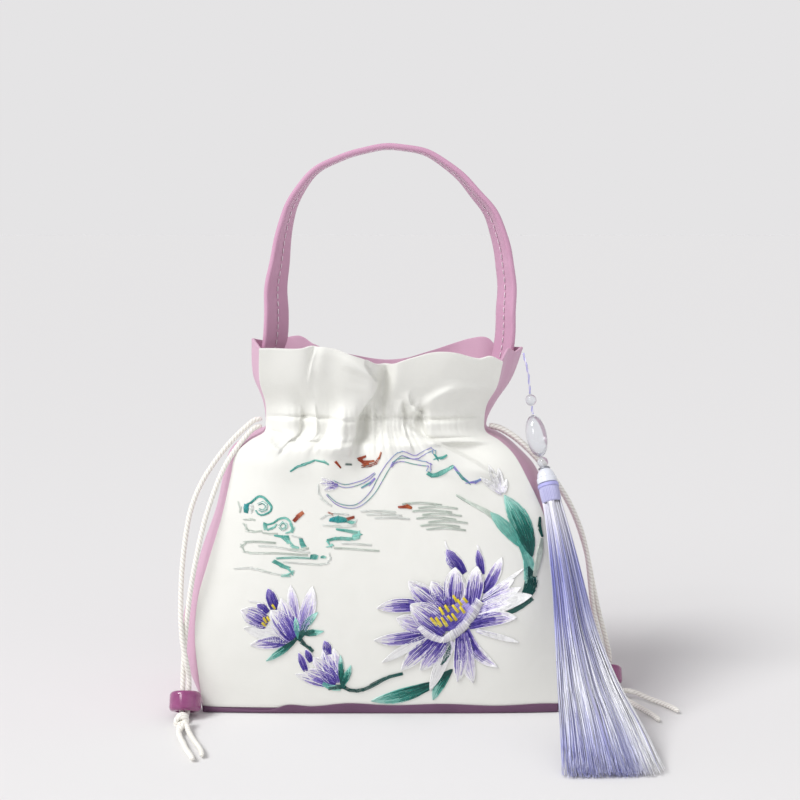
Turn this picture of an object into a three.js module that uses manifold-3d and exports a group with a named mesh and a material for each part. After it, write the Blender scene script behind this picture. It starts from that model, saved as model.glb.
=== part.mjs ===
// A Chinese embroidered drawstring purse in satin: front and back panels, two side gussets
// and a flat base, gathered at the neck by a cord channel below a ruffled mouth. A strap
// handle is sewn inside the gussets, the drawstring ends in two beads, and a silk tassel
// hangs from the right gusset's corner and lies out on the floor.
// Millimetres, +Z up, +X to the purse's right as seen from the front, front towards -Y.
// The origin is the centre of the base's underside.
import * as THREE from "three";
import { mergeVertices } from "three/addons/utils/BufferGeometryUtils.js";
import Module from "manifold-3d";

const wasm = await Module();
wasm.setup();

// Cloth body
const bodyHalfWidth = 100;
const bodyHalfDepth = 40;
const mouthHeight = 203;
const clothWall = 1.8;
const seamGap = 0.3;
const baseThickness = 3;
const gussetBulge = 14;
const foldDepth = 7;
const rimWave = 8;
const gussetPeak = 4;
const cornerPeak = 5;
const rimSoftness = 0.18;

// Shape of the cloth, as shares: how square a panel's crown is, how late its folds die out
// towards the seams, the heights between which a gusset turns from round to folded, and the
// place and spread of the right gusset's corner between its middle and the front seam
const crownPower = 4;
const foldFade = 6;
const foldedFrom = 0.75;
const foldedBy = 0.95;
const cornerAt = 0.67;
const cornerSpread = 0.34;

// Strap handle
const handleReach = 66;
const handleRise = 113;
const strapWidth = 20;
const strapThickness = 3;
const strapCorner = 0.8;
const strapFootDrop = 16;
const strapLean = 8;

// Drawstring
const cordDiameter = 3;
const beadRadius = 8.8;
const beadHoleRadius = 3.7;
const beadHeight = 11;
const beadRounding = 2.3;
const beadDown = new THREE.Vector3(0, -0.438, -0.899).normalize();
const leftBeadCentre = new THREE.Vector3(-108.8, -45.6, 8.4);
const rightBeadCentre = new THREE.Vector3(133.4, 1.4, 8.4);
const leftKnotCentre = new THREE.Vector3(-107.8, -66.2, 4.8);
const rightKnotCentre = new THREE.Vector3(134.8, -18.2, 4.8);
const knotRadius = 4.2;
const tailDiameter = 3;
const floorGap = 0.4;

// Tassel
const threadDiameter = 1.4;
const threadLength = 24.5;
const clearBeadRadius = 3.2;
const linkLength = 4.6;
const dropRadius = 5.9;
const dropHeight = 24.4;
const neckBeadRadius = 3.1;
const capRadius = 5.7;
const capDome = 6;
const capBand = 3.4;
const capShoulder = 0.93;
const headRadius = 5.4;
const headLength = 11;
const headSwell = 1.04;
const skirtHalfWidth = 26;

// Skirt of the tassel: a core inside nine locks. The shares are of the skirt's own half
// width and half thickness at each place.
const lockCount = 9;
const lockSpread = 0.8;
const lockLift = 0.3;
const lockWide = 0.2;
const lockThick = 0.66;
const lockTip = 0.9;
const lockStagger = 0.012;
const coreWide = 0.84;
const coreThick = 0.62;
const coreReach = 0.97;

// Mesh fineness
const frontColumns = 32;
const backColumns = 22;
const gussetColumns = 6;
const cordSides = 8;
const cordSteps = 20;
const tailSteps = 6;
const threadSteps = 4;
const strapSteps = 28;
const turnedSides = 12;
const lumpSides = 8;
const lumpRows = 6;
const lockSteps = 7;
const lockCorners = 6;
const coreCorners = 12;

// Section of the body at each height. height is a share of mouthHeight; left and right are
// shares of bodyHalfWidth; the four depths are shares of bodyHalfDepth, in the middle of
// the panel and at its seams; the two bulges are shares of gussetBulge.
const sections = [
  { height: 0.0, left: 1.0, right: 1.0, front: 1.02, frontSeam: 0.97, back: 1.0, backSeam: 0.96,
    leftBulge: 0.4, rightBulge: 0.4 },
  { height: 0.08, left: 1.02, right: 1.01, front: 1.06, frontSeam: 0.97, back: 1.05, backSeam: 0.96,
    leftBulge: 0.84, rightBulge: 0.6 },
  { height: 0.2, left: 1.04, right: 1.02, front: 1.1, frontSeam: 0.95, back: 1.08, backSeam: 0.94,
    leftBulge: 0.88, rightBulge: 0.62 },
  { height: 0.31, left: 1.02, right: 1.01, front: 1.1, frontSeam: 0.92, back: 1.08, backSeam: 0.91,
    leftBulge: 0.58, rightBulge: 0.58 },
  { height: 0.42, left: 0.957, right: 0.96, front: 1.06, frontSeam: 0.87, back: 1.05, backSeam: 0.87,
    leftBulge: 0.6, rightBulge: 0.5 },
  { height: 0.54, left: 0.885, right: 0.915, front: 0.98, frontSeam: 0.8, back: 0.98, backSeam: 0.8,
    leftBulge: 0.5, rightBulge: 0.45 },
  { height: 0.65, left: 0.837, right: 0.815, front: 0.9, frontSeam: 0.68, back: 0.9, backSeam: 0.68,
    leftBulge: 0.5, rightBulge: 0.62 },
  { height: 0.71, left: 0.81, right: 0.745, front: 0.82, frontSeam: 0.6, back: 0.8, backSeam: 0.6,
    leftBulge: 0.4, rightBulge: 0.35 },
  { height: 0.745, left: 0.735, right: 0.67, front: 0.74, frontSeam: 0.52, back: 0.7, backSeam: 0.52,
    leftBulge: 0.25, rightBulge: 0.25 },
  { height: 0.765, left: 0.66, right: 0.6, front: 0.6, frontSeam: 0.42, back: 0.58, backSeam: 0.42,
    leftBulge: 0.15, rightBulge: 0.18 },
  { height: 0.79, left: 0.65, right: 0.587, front: 0.55, frontSeam: 0.38, back: 0.54, backSeam: 0.38,
    leftBulge: 0.12, rightBulge: 0.2 },
  { height: 0.845, left: 0.648, right: 0.6, front: 0.56, frontSeam: 0.42, back: 0.56, backSeam: 0.42,
    leftBulge: 0.25, rightBulge: 0.5 },
  { height: 0.91, left: 0.675, right: 0.65, front: 0.68, frontSeam: 0.56, back: 0.66, backSeam: 0.56,
    leftBulge: 0.45, rightBulge: 0.75 },
  { height: 1.0, left: 0.67, right: 0.68, front: 0.8, frontSeam: 0.72, back: 0.76, backSeam: 0.72,
    leftBulge: 0.52, rightBulge: 1.0 },
];

// Heights of the rows that the panels and gussets share, as shares of mouthHeight
const rowHeights = [0, 0.05, 0.12, 0.21, 0.31, 0.42, 0.53, 0.62, 0.68, 0.72, 0.748, 0.772,
  0.8, 0.83, 0.862, 0.905, 0.952, 1];

// Folds of a panel. at is a share of the half width, height and reach are shares of
// mouthHeight, width is a share of the half width, push a share of foldDepth (out from the
// purse when positive) and lean how far at moves for each unit of height.
const frontFolds = [
  { at: -0.6, width: 0.22, push: 0.55, height: 1.0, up: 0.1, down: 0.16, lean: 0 },
  { at: -0.53, width: 0.05, push: -0.35, height: 1.0, up: 0.1, down: 0.1, lean: 0.2 },
  { at: -0.26, width: 0.16, push: 0.75, height: 0.98, up: 0.1, down: 0.15, lean: -0.1 },
  { at: 0.03, width: 0.1, push: -0.95, height: 1.0, up: 0.1, down: 0.17, lean: 0 },
  { at: 0.55, width: 0.28, push: 0.5, height: 0.97, up: 0.1, down: 0.13, lean: 0 },
  { at: 0.93, width: 0.08, push: 0.4, height: 1.0, up: 0.1, down: 0.1, lean: 0 },
  { at: -0.85, width: 0.13, push: 0.3, height: 0.8, up: 0.05, down: 0.04, lean: 0 },
  { at: -0.67, width: 0.06, push: -0.5, height: 0.79, up: 0.07, down: 0.04, lean: 0 },
  { at: -0.49, width: 0.07, push: 0.35, height: 0.78, up: 0.05, down: 0.06, lean: 0 },
  { at: -0.3, width: 0.08, push: 0.85, height: 0.79, up: 0.06, down: 0.05, lean: 0 },
  { at: -0.11, width: 0.08, push: -0.6, height: 0.79, up: 0.06, down: 0.06, lean: 0 },
  { at: 0.1, width: 0.08, push: 0.45, height: 0.78, up: 0.05, down: 0.06, lean: 0 },
  { at: 0.25, width: 0.05, push: -0.4, height: 0.79, up: 0.05, down: 0.05, lean: 0 },
  { at: 0.42, width: 0.05, push: -0.6, height: 0.8, up: 0.04, down: 0.04, lean: 0 },
  { at: 0.75, width: 0.2, push: 0.35, height: 0.8, up: 0.04, down: 0.03, lean: 0 },
  { at: 0.36, width: 0.08, push: 0.4, height: 0.73, up: 0.05, down: 0.1, lean: -2.2 },
  { at: 0.66, width: 0.16, push: -0.4, height: 0.72, up: 0.03, down: 0.08, lean: -1 },
  { at: -0.68, width: 0.22, push: 0.45, height: 0.72, up: 0.035, down: 0.08, lean: 0 },
  { at: -0.3, width: 0.1, push: 0.35, height: 0.73, up: 0.04, down: 0.09, lean: 0.4 },
  { at: -0.08, width: 0.12, push: -0.3, height: 0.72, up: 0.05, down: 0.08, lean: 0 },
];
const backFolds = [
  { at: 0.62, width: 0.25, push: 0.6, height: 1.0, up: 0.1, down: 0.16, lean: 0 },
  { at: 0.2, width: 0.12, push: -0.7, height: 1.0, up: 0.1, down: 0.17, lean: 0 },
  { at: -0.15, width: 0.2, push: 0.6, height: 1.0, up: 0.1, down: 0.16, lean: 0 },
  { at: -0.5, width: 0.1, push: -0.6, height: 1.0, up: 0.1, down: 0.16, lean: 0 },
  { at: -0.8, width: 0.18, push: 0.4, height: 1.0, up: 0.1, down: 0.15, lean: 0 },
  { at: 0.7, width: 0.09, push: -0.55, height: 0.79, up: 0.06, down: 0.06, lean: 0 },
  { at: 0.45, width: 0.1, push: 0.6, height: 0.78, up: 0.06, down: 0.07, lean: 0 },
  { at: 0.2, width: 0.08, push: -0.5, height: 0.79, up: 0.05, down: 0.06, lean: 0 },
  { at: -0.05, width: 0.1, push: 0.7, height: 0.78, up: 0.06, down: 0.08, lean: 0.3 },
  { at: -0.3, width: 0.08, push: -0.6, height: 0.79, up: 0.06, down: 0.06, lean: 0 },
  { at: -0.55, width: 0.1, push: 0.55, height: 0.78, up: 0.06, down: 0.07, lean: 0 },
  { at: -0.8, width: 0.08, push: -0.4, height: 0.79, up: 0.05, down: 0.05, lean: 0 },
  { at: 0.3, width: 0.16, push: 0.4, height: 0.7, up: 0.06, down: 0.1, lean: -0.8 },
  { at: -0.35, width: 0.16, push: 0.4, height: 0.7, up: 0.06, down: 0.1, lean: 0.8 },
];

// Rise of the ruffle's edge above mouthHeight, at a share of the half width, as a share of
// rimWave
const frontRim = [
  { at: -1.0, rise: 0.15 }, { at: -0.9, rise: 0.18 }, { at: -0.67, rise: 0.2 },
  { at: -0.54, rise: 0.4 }, { at: -0.38, rise: 0.25 }, { at: -0.27, rise: -0.06 },
  { at: -0.14, rise: -0.45 }, { at: 0.0, rise: -0.95 }, { at: 0.13, rise: -0.78 },
  { at: 0.25, rise: -0.45 }, { at: 0.4, rise: -0.08 }, { at: 0.5, rise: 0.0 },
  { at: 0.62, rise: -0.1 }, { at: 0.8, rise: -0.5 }, { at: 0.9, rise: -0.35 },
  { at: 1.0, rise: -0.75 },
];
const backRim = [
  { at: -1.0, rise: 0.1 }, { at: -0.85, rise: 0.35 }, { at: -0.72, rise: 0.45 },
  { at: -0.6, rise: -0.1 }, { at: -0.3, rise: -0.9 }, { at: 0.05, rise: -1.3 },
  { at: 0.4, rise: -0.7 }, { at: 0.62, rise: -0.15 }, { at: 0.8, rise: 0.3 },
  { at: 0.92, rise: 0.35 }, { at: 1.0, rise: -0.3 },
];

// Centre line of the strap above the mouth. across is a share of handleReach, up a share of
// handleRise, and turn the degrees that the strap is turned out of the side view.
const strapRoute = [
  { across: -0.929, up: 0.03, turn: 38 },
  { across: -0.915, up: 0.285, turn: 32 },
  { across: -0.868, up: 0.478, turn: 22 },
  { across: -0.813, up: 0.634, turn: 14 },
  { across: -0.707, up: 0.789, turn: 7 },
  { across: -0.541, up: 0.894, turn: 3 },
  { across: -0.308, up: 0.959, turn: 1 },
  { across: -0.06, up: 0.996, turn: 0 },
  { across: 0.13, up: 1.0, turn: -1 },
  { across: 0.35, up: 0.985, turn: -3 },
  { across: 0.53, up: 0.93, turn: -6 },
  { across: 0.7, up: 0.852, turn: -9 },
  { across: 0.859, up: 0.749, turn: -13 },
  { across: 0.96, up: 0.659, turn: -16 },
  { across: 1.035, up: 0.538, turn: -20 },
  { across: 1.081, up: 0.397, turn: -22 },
  { across: 1.098, up: 0.234, turn: -24 },
  { across: 1.079, up: 0.004, turn: -26 },
];

// Routes chosen by hand: the drawstring's four strands from the channel through the beads
// to the knots, and the two tails of each knot
const leftOuterRoute = [
  [-67.6, -12, 163.2], [-71.4, -13.5, 162.6], [-76.8, -17, 158.5], [-82.4, -20, 153.3],
  [-88, -23, 147], [-93.6, -26, 139.6], [-98.8, -29, 131.4], [-102.8, -31.5, 123],
  [-105.8, -33.5, 114], [-107.8, -35, 104], [-109.3, -36.6, 93], [-110.4, -38.3, 81],
  [-111, -40, 68], [-111, -41.8, 54], [-109.9, -43.6, 41], [-108.2, -43.8, 31],
  [-107.1, -42, 21], [-107.1, -43.2, 14], [-107.1, -45.6, 7.7], [-107.1, -48, 4.5],
  [-107.3, -51.2, 2.7], [-107.3, -55, 2.4], [-107.2, -58.6, 2.7],
];
const leftInnerRoute = [
  [-67.8, -13, 159.2], [-71.5, -15.5, 158.2], [-76.6, -19.5, 153.2], [-81.6, -23.5, 147],
  [-86.3, -27, 139.6], [-90, -30.4, 131.6], [-93.3, -33.6, 122.6], [-96.4, -36.4, 113],
  [-99, -38.4, 103], [-101.3, -40, 92.4], [-103.6, -41, 81], [-105.7, -41, 69],
  [-107.4, -41, 57], [-108.8, -40.6, 45], [-109.9, -40.2, 33], [-110.5, -40.8, 22],
  [-110.5, -43.2, 14], [-110.5, -45.6, 7.7], [-110.5, -48, 4.5], [-110.4, -51.2, 2.7],
  [-110.4, -55, 2.4], [-110.4, -58.6, 2.7],
];
const rightOuterRoute = [
  [61.7, -12, 159.6], [67.4, -13, 158.4], [75.6, -14.5, 153.8], [84.4, -15.2, 146],
  [92.8, -15, 136.6], [100.6, -14, 126.6], [107.3, -12.4, 116], [112.6, -10.6, 105],
  [116.6, -8.6, 94], [119.4, -6.8, 82.6], [121.2, -5, 70.6], [122.8, -3, 58],
  [125, -1, 45.6], [128, 1, 33], [130.9, 3.6, 22], [131.7, 3.8, 14.4],
  [131.7, 1.4, 7.7], [131.7, -1, 4.5], [131.9, -4.2, 2.7], [132.2, -7.6, 2.4],
  [132.6, -10.6, 2.7],
];
const rightInnerRoute = [
  [61.9, -8, 158.4], [67.6, -8.6, 157], [75.9, -9.6, 152.2], [84.9, -10.4, 144.4],
  [93.5, -10.4, 134.8], [101.3, -9.6, 124.4], [107.9, -8.2, 113.6], [113.1, -6.4, 102.4],
  [117.2, -4.4, 91], [120.5, -2.4, 79.4], [123.2, -0.6, 67.2], [126, 0.8, 54.6],
  [129.2, 2.2, 42], [132.6, 3.6, 30], [134.8, 4.4, 20.6], [135.1, 3.8, 14.4],
  [135.1, 1.4, 7.7], [135.1, -1, 4.5], [135.2, -4.2, 2.7], [135.4, -7.6, 2.4],
  [135.8, -10.6, 2.7],
];
const leftTails = [
  [[-108.4, -71, 3.4], [-107.6, -77, 2.3], [-105.4, -85, 2.1], [-102.6, -93, 2.1],
    [-100, -101, 2.1], [-96.6, -109, 2.1], [-94.6, -114.4, 2.1]],
  [[-104.6, -71, 4.2], [-102.4, -77, 2.9], [-99.6, -84, 2.1], [-96.8, -91, 2.1],
    [-94, -97.6, 2.1], [-91.8, -104, 2.1], [-90.6, -109.4, 2.1]],
];
const rightTails = [
  [[137.5, -17, 5], [142, -16.5, 5], [147.5, -19, 4.4], [153.5, -24, 3],
    [159.5, -29, 2.1], [164, -36, 2.1], [167, -43, 2.1]],
  [[138, -21, 3.6], [141.5, -26.5, 2.4], [145.6, -35, 2.1], [149.6, -44, 2.1],
    [152, -51, 2.1], [153.6, -57.4, 2.1]],
];

// Line that the pendant hangs on, from the right gusset's corner. across, out and up are
// shares of bodyHalfWidth, bodyHalfDepth and mouthHeight.
const pendantRoute = [
  { across: 0.814, out: 0.085, up: 0.984 }, { across: 0.836, out: 0.215, up: 0.936 },
  { across: 0.852, out: 0.33, up: 0.854 }, { across: 0.883, out: 0.45, up: 0.754 },
  { across: 0.912, out: 0.598, up: 0.69 }, { across: 0.936, out: 0.75, up: 0.6325 },
  { across: 0.965, out: 0.935, up: 0.5635 },
];

// Centre line of the tassel's skirt, in the same shares as the line above it, and its half
// width and half thickness on the way, as shares of skirtHalfWidth
const skirt = [
  { across: 0.958, out: 0.885, up: 0.581, wide: 0.2, thick: 0.192 },
  { across: 0.986, out: 1.025, up: 0.512, wide: 0.246, thick: 0.223 },
  { across: 1.01, out: 1.165, up: 0.443, wide: 0.292, thick: 0.246 },
  { across: 1.036, out: 1.35, up: 0.36, wide: 0.346, thick: 0.27 },
  { across: 1.06, out: 1.55, up: 0.276, wide: 0.423, thick: 0.285 },
  { across: 1.09, out: 1.825, up: 0.195, wide: 0.54, thick: 0.27 },
  { across: 1.12, out: 2.15, up: 0.128, wide: 0.67, thick: 0.238 },
  { across: 1.15, out: 2.525, up: 0.076, wide: 0.81, thick: 0.2 },
  { across: 1.17, out: 2.925, up: 0.0325, wide: 0.92, thick: 0.146 },
  { across: 1.176, out: 3.4, up: 0.008, wide: 1, thick: 0.062 },
];

// Lumps of a knot: place and size as shares of knotRadius
const knotLumps = [{ x: 0.1, y: 0.8, size: 0.9 }, { x: -0.1, y: -0.3, size: 1 }];

/** The point of a row that gives its place as shares of the body's sizes. */
function placed({ across, out, up }) {
  return new THREE.Vector3(across * bodyHalfWidth, -out * bodyHalfDepth, up * mouthHeight);
}

/** A smooth curve through one column of a table, read at a value of its key column. */
function readTable(table, key, column, value) {
  const last = table.length - 1;
  let row = 0;
  while (row < last - 1 && table[row + 1][key] < value) row += 1;
  const slope = (index) => {
    const before = table[Math.max(index - 1, 0)];
    const after = table[Math.min(index + 1, last)];
    return (after[column] - before[column]) / (after[key] - before[key]);
  };
  const span = table[row + 1][key] - table[row][key];
  const t = THREE.MathUtils.clamp((value - table[row][key]) / span, 0, 1);
  const rising = t * t * (3 - 2 * t);
  return table[row][column] * (1 - rising) + table[row + 1][column] * rising
    + span * t * (1 - t) * ((1 - t) * slope(row) - t * slope(row + 1));
}

/** How far the folds push a panel out at a share across and a share of the height. */
function foldPush(folds, across, height) {
  let push = 0;
  for (const fold of folds) {
    const rise = height - fold.height;
    const reach = rise > 0 ? fold.up : fold.down;
    const aside = (across - fold.at - fold.lean * rise) / fold.width;
    push += fold.push * Math.exp(-aside * aside - (rise / reach) ** 2);
  }
  return push * foldDepth * (1 - across ** foldFade);
}

const wallFoot = baseThickness + seamGap;

/** Height of a point of a wall: rows start above the base and end at the waved rim. */
function wallHeight(height, rise) {
  const nearRim = THREE.MathUtils.smoothstep(height, 1 - rimSoftness, 1);
  return wallFoot + height * (mouthHeight - wallFoot) + rise * nearRim;
}

/** A row of the front panel, left to right, or of the back panel, right to left. */
function panelRow(height, isFront) {
  const columns = isFront ? frontColumns : backColumns;
  const folds = isFront ? frontFolds : backFolds;
  const rim = isFront ? frontRim : backRim;
  const middle = readTable(sections, "height", isFront ? "front" : "back", height);
  const seam = readTable(sections, "height", isFront ? "frontSeam" : "backSeam", height);
  const left = readTable(sections, "height", "left", height) * bodyHalfWidth;
  const right = readTable(sections, "height", "right", height) * bodyHalfWidth;
  const row = [];
  for (let column = 0; column <= columns; column += 1) {
    const across = (2 * column) / columns - 1;
    const crown = 1 - across ** crownPower;
    const push = foldPush(folds, across, height);
    const depth = (seam + (middle - seam) * crown) * bodyHalfDepth + push;
    const rise = readTable(rim, "at", "rise", across) * rimWave;
    const x = (left + right) * (across + 1) / 2 - left;
    row.push(new THREE.Vector3(x, isFront ? -depth : depth, wallHeight(height, rise)));
  }
  return isFront ? row : row.reverse();
}

/** The level direction from a row's point into the purse. */
function inward(row, index) {
  const before = row[Math.max(index - 1, 0)];
  const after = row[Math.min(index + 1, row.length - 1)];
  return new THREE.Vector3(before.y - after.y, after.x - before.x, 0).normalize();
}

/** The inner side of a row, one wall thickness in. */
function innerRow(row) {
  return row.map((point, index) => point.clone().addScaledVector(inward(row, index), clothWall));
}

/** The seat of a gusset on a panel's inner side: its corner and the way along the panel. */
function seamSeat(panelInner, edge, next) {
  const along = panelInner[next].clone().sub(panelInner[edge]);
  along.divideScalar(Math.hypot(along.x, along.y));
  const off = new THREE.Vector3(-along.y, along.x, 0).multiplyScalar(edge < next ? 1 : -1);
  return { corner: panelInner[edge].clone().addScaledVector(off, seamGap), along };
}

/** A gusset's row between two panel rows, counter-clockwise, outer and inner side. */
function gussetRow(before, after, height, side) {
  const last = before.length - 1;
  const { corner: start, along: startAside } = seamSeat(innerRow(before), last, last - 1);
  const { corner: end, along: endAside } = seamSeat(innerRow(after), 0, 1);
  const column = side > 0 ? "rightBulge" : "leftBulge";
  const bulge = readTable(sections, "height", column, height) * gussetBulge;
  const flat = THREE.MathUtils.smoothstep(height, foldedFrom, foldedBy);
  const nearRim = THREE.MathUtils.smoothstep(height, 1 - rimSoftness, 1);
  const outer = [];
  for (let index = 0; index <= gussetColumns; index += 1) {
    const along = (2 * index) / gussetColumns - 1;
    const towardsFront = side > 0 ? -along : along;
    const round = 1 - along * along;
    const folded = 1 - Math.abs(along);
    const out = bulge * (round + (folded - round) * flat);
    const nearCorner = 1 - Math.abs(towardsFront - cornerAt) / cornerSpread;
    const corner = side > 0 ? Math.max(0, nearCorner) : 0;
    const point = start.clone().lerp(end, (along + 1) / 2);
    point.x += side * out;
    point.z += (gussetPeak * folded + cornerPeak * corner) * nearRim;
    outer.push(point);
  }
  const inner = innerRow(outer);
  inner[0].copy(outer[0]).addScaledVector(startAside, clothWall);
  inner[gussetColumns].copy(outer[gussetColumns]).addScaledVector(endAside, clothWall);
  return { outer, inner };
}

/** A solid from positions and triangles, turned so that its faces point out. */
function bodyOf(points, triangles) {
  let volume = 0;
  const cross = new THREE.Vector3();
  for (let index = 0; index < triangles.length; index += 3) {
    const [a, b, c] = triangles.slice(index, index + 3).map((corner) => points[corner]);
    volume += a.dot(cross.crossVectors(b, c));
  }
  if (volume < 0) triangles.reverse();
  const geometry = new THREE.BufferGeometry().setFromPoints(points);
  geometry.setIndex(triangles);
  geometry.computeVertexNormals();
  return geometry;
}

/** A sheet with thickness from the rows of its outer and inner sides. */
function sheetBody(outer, inner) {
  const rows = outer.length;
  const columns = outer[0].length;
  const points = [...outer.flat(), ...inner.flat()];
  const at = (row, column, layer) => (layer * rows + row) * columns + column;
  const triangles = [];
  const quad = (a, b, c, d) => triangles.push(a, b, c, a, c, d);
  for (let row = 0; row < rows - 1; row += 1) {
    const up = row + 1;
    for (let column = 0; column < columns - 1; column += 1) {
      const next = column + 1;
      quad(at(row, column, 0), at(row, next, 0), at(up, next, 0), at(up, column, 0));
      quad(at(row, column, 1), at(up, column, 1), at(up, next, 1), at(row, next, 1));
    }
    const last = columns - 1;
    quad(at(row, 0, 0), at(up, 0, 0), at(up, 0, 1), at(row, 0, 1));
    quad(at(row, last, 0), at(row, last, 1), at(up, last, 1), at(up, last, 0));
  }
  for (let column = 0; column < columns - 1; column += 1) {
    const top = rows - 1;
    quad(at(0, column, 0), at(0, column, 1), at(0, column + 1, 1), at(0, column + 1, 0));
    quad(at(top, column, 0), at(top, column + 1, 0), at(top, column + 1, 1), at(top, column, 1));
  }
  return bodyOf(points, triangles);
}

/** A solid swept through rings of equal count, closed by a fan at each end. */
function ringBody(rings) {
  const sides = rings[0].length;
  const points = rings.flat();
  const triangles = [];
  for (let ring = 0; ring < rings.length - 1; ring += 1) {
    for (let side = 0; side < sides; side += 1) {
      const next = (side + 1) % sides;
      const [a, b] = [ring * sides + side, ring * sides + next];
      triangles.push(a, b, b + sides, a, b + sides, a + sides);
    }
  }
  const last = (rings.length - 1) * sides;
  for (let side = 1; side < sides - 1; side += 1) {
    triangles.push(0, side + 1, side, last, last + side, last + side + 1);
  }
  return bodyOf(points, triangles);
}

/** A round tube along hand-chosen points. */
function tube(route, diameter, steps) {
  const corner = (side) => {
    const angle = (2 * Math.PI * side) / cordSides;
    return new THREE.Vector2(Math.cos(angle), Math.sin(angle)).multiplyScalar(diameter / 2);
  };
  const section = new THREE.Shape(Array.from({ length: cordSides }, (_, side) => corner(side)));
  const path = new THREE.CatmullRomCurve3(route.map((point) => new THREE.Vector3(...point)));
  return new THREE.ExtrudeGeometry(section, { steps, bevelEnabled: false, extrudePath: path });
}

/** A geometry as a solid that can be joined or cut. */
function solidOf(geometry) {
  const bare = geometry.clone();
  bare.deleteAttribute("normal");
  bare.deleteAttribute("uv");
  const merged = mergeVertices(bare, 1e-3);
  return new wasm.Manifold(new wasm.Mesh({
    numProp: 3,
    vertProperties: new Float32Array(merged.attributes.position.array),
    triVerts: new Uint32Array(merged.index.array),
  }));
}

/** Several closed geometries joined into one. */
function fused(geometries) {
  const joined = geometries.map(solidOf).reduce((whole, next) => whole.add(next)).getMesh();
  const geometry = new THREE.BufferGeometry();
  geometry.setAttribute("position", new THREE.BufferAttribute(joined.vertProperties, 3));
  geometry.setIndex(new THREE.BufferAttribute(joined.triVerts, 1));
  geometry.computeVertexNormals();
  return geometry;
}

/** A profile of radius and height pairs spun about an axis that runs down a direction. */
function turned(profile, centre, down) {
  const corners = profile.map(([radius, height]) => new THREE.Vector2(radius, height));
  const geometry = new THREE.LatheGeometry(corners, turnedSides);
  const turn = new THREE.Quaternion().setFromUnitVectors(new THREE.Vector3(0, -1, 0), down);
  return geometry.applyQuaternion(turn).translate(centre.x, centre.y, centre.z);
}

/** An arc of a profile between two angles in degrees. */
function arc(radius, height, reach, rise, from, to, count) {
  return Array.from({ length: count + 1 }, (_, index) => {
    const angle = THREE.MathUtils.degToRad(from + ((to - from) * index) / count);
    return [Math.max(0, radius + reach * Math.cos(angle)), height + rise * Math.sin(angle)];
  });
}

const fronts = rowHeights.map((height) => panelRow(height, true));
const backs = rowHeights.map((height) => panelRow(height, false));
const rights = rowHeights.map((height, index) => gussetRow(fronts[index], backs[index], height, 1));
const lefts = rowHeights.map((height, index) => gussetRow(backs[index], fronts[index], height, -1));

/** A seat on the inside of a gusset's back half: strap edges and the way into the purse. */
function strapSeat(side) {
  const height = 1 - strapFootDrop / mouthHeight;
  const before = panelRow(height, side > 0);
  const after = panelRow(height, side < 0);
  const { inner } = gussetRow(before, after, height, side);
  const middle = inner[gussetColumns / 2];
  const backWay = side > 0 ? 1 : -1;
  const backPoint = inner[gussetColumns / 2 + backWay * (gussetColumns / 2 - 1)];
  const along = backPoint.clone().sub(middle).setZ(0).normalize();
  const into = new THREE.Vector3(-side * along.y, side * along.x, 0);
  const centre = middle.clone().addScaledVector(along, strapWidth / 2 + strapCorner)
    .addScaledVector(into, seamGap + strapThickness / 2);
  return { centre, along };
}

/** The strap: a rounded flat section carried over the purse and turned at its legs. */
function strapBody() {
  const seats = [strapSeat(-1), strapSeat(1)];
  const turnOf = ({ along }) => THREE.MathUtils.radToDeg(Math.atan2(along.x, along.y));
  const toPoint = ({ across, up }) => new THREE.Vector3(
    across * handleReach, strapLean, mouthHeight + up * handleRise);
  const points = [seats[0].centre, ...strapRoute.map(toPoint), seats[1].centre];
  const turns = [turnOf(seats[0]), ...strapRoute.map(({ turn }) => turn), turnOf(seats[1])];
  const path = new THREE.CatmullRomCurve3(points, false, "centripetal");
  const rings = [];
  for (let step = 0; step <= strapSteps; step += 1) {
    const share = step / strapSteps;
    const place = share * (points.length - 1);
    const index = Math.min(Math.floor(place), points.length - 2);
    const turn = THREE.MathUtils.lerp(turns[index], turns[index + 1], place - index);
    const centre = path.getPoint(share);
    const tangent = path.getTangent(share);
    const atEnd = share === 0 || share === 1;
    const level = atEnd ? new THREE.Vector3(0, 0, share === 0 ? 1 : -1) : tangent;
    const angle = THREE.MathUtils.degToRad(turn);
    const broad = new THREE.Vector3(Math.sin(angle), Math.cos(angle), 0);
    broad.addScaledVector(level, -broad.dot(level)).normalize();
    const thin = new THREE.Vector3().crossVectors(level, broad);
    const [halfWide, halfThin] = [strapWidth / 2, strapThickness / 2];
    const ring = [];
    for (const [wideSide, thinSide] of [[1, 1], [-1, 1], [-1, -1], [1, -1]]) {
      const cuts = wideSide * thinSide > 0 ? [[0, 1], [1, 0]] : [[1, 0], [0, 1]];
      for (const [cutWide, cutThin] of cuts) {
        ring.push(centre.clone()
          .addScaledVector(broad, wideSide * (halfWide - cutWide * strapCorner))
          .addScaledVector(thin, thinSide * (halfThin - cutThin * strapCorner)));
      }
    }
    rings.push(ring);
  }
  return ringBody(rings);
}

/** The base: a plate under the foot of the four walls. */
function baseBody() {
  const [rightFoot, leftFoot] = [rights, lefts].map((rows) => rows[0].outer.slice(1, -1));
  const ring = [fronts[0], rightFoot, backs[0], leftFoot].flat();
  const outline = new THREE.Shape(ring.map(({ x, y }) => new THREE.Vector2(x, y)));
  return new THREE.ExtrudeGeometry(outline, { depth: baseThickness, bevelEnabled: false });
}

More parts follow.
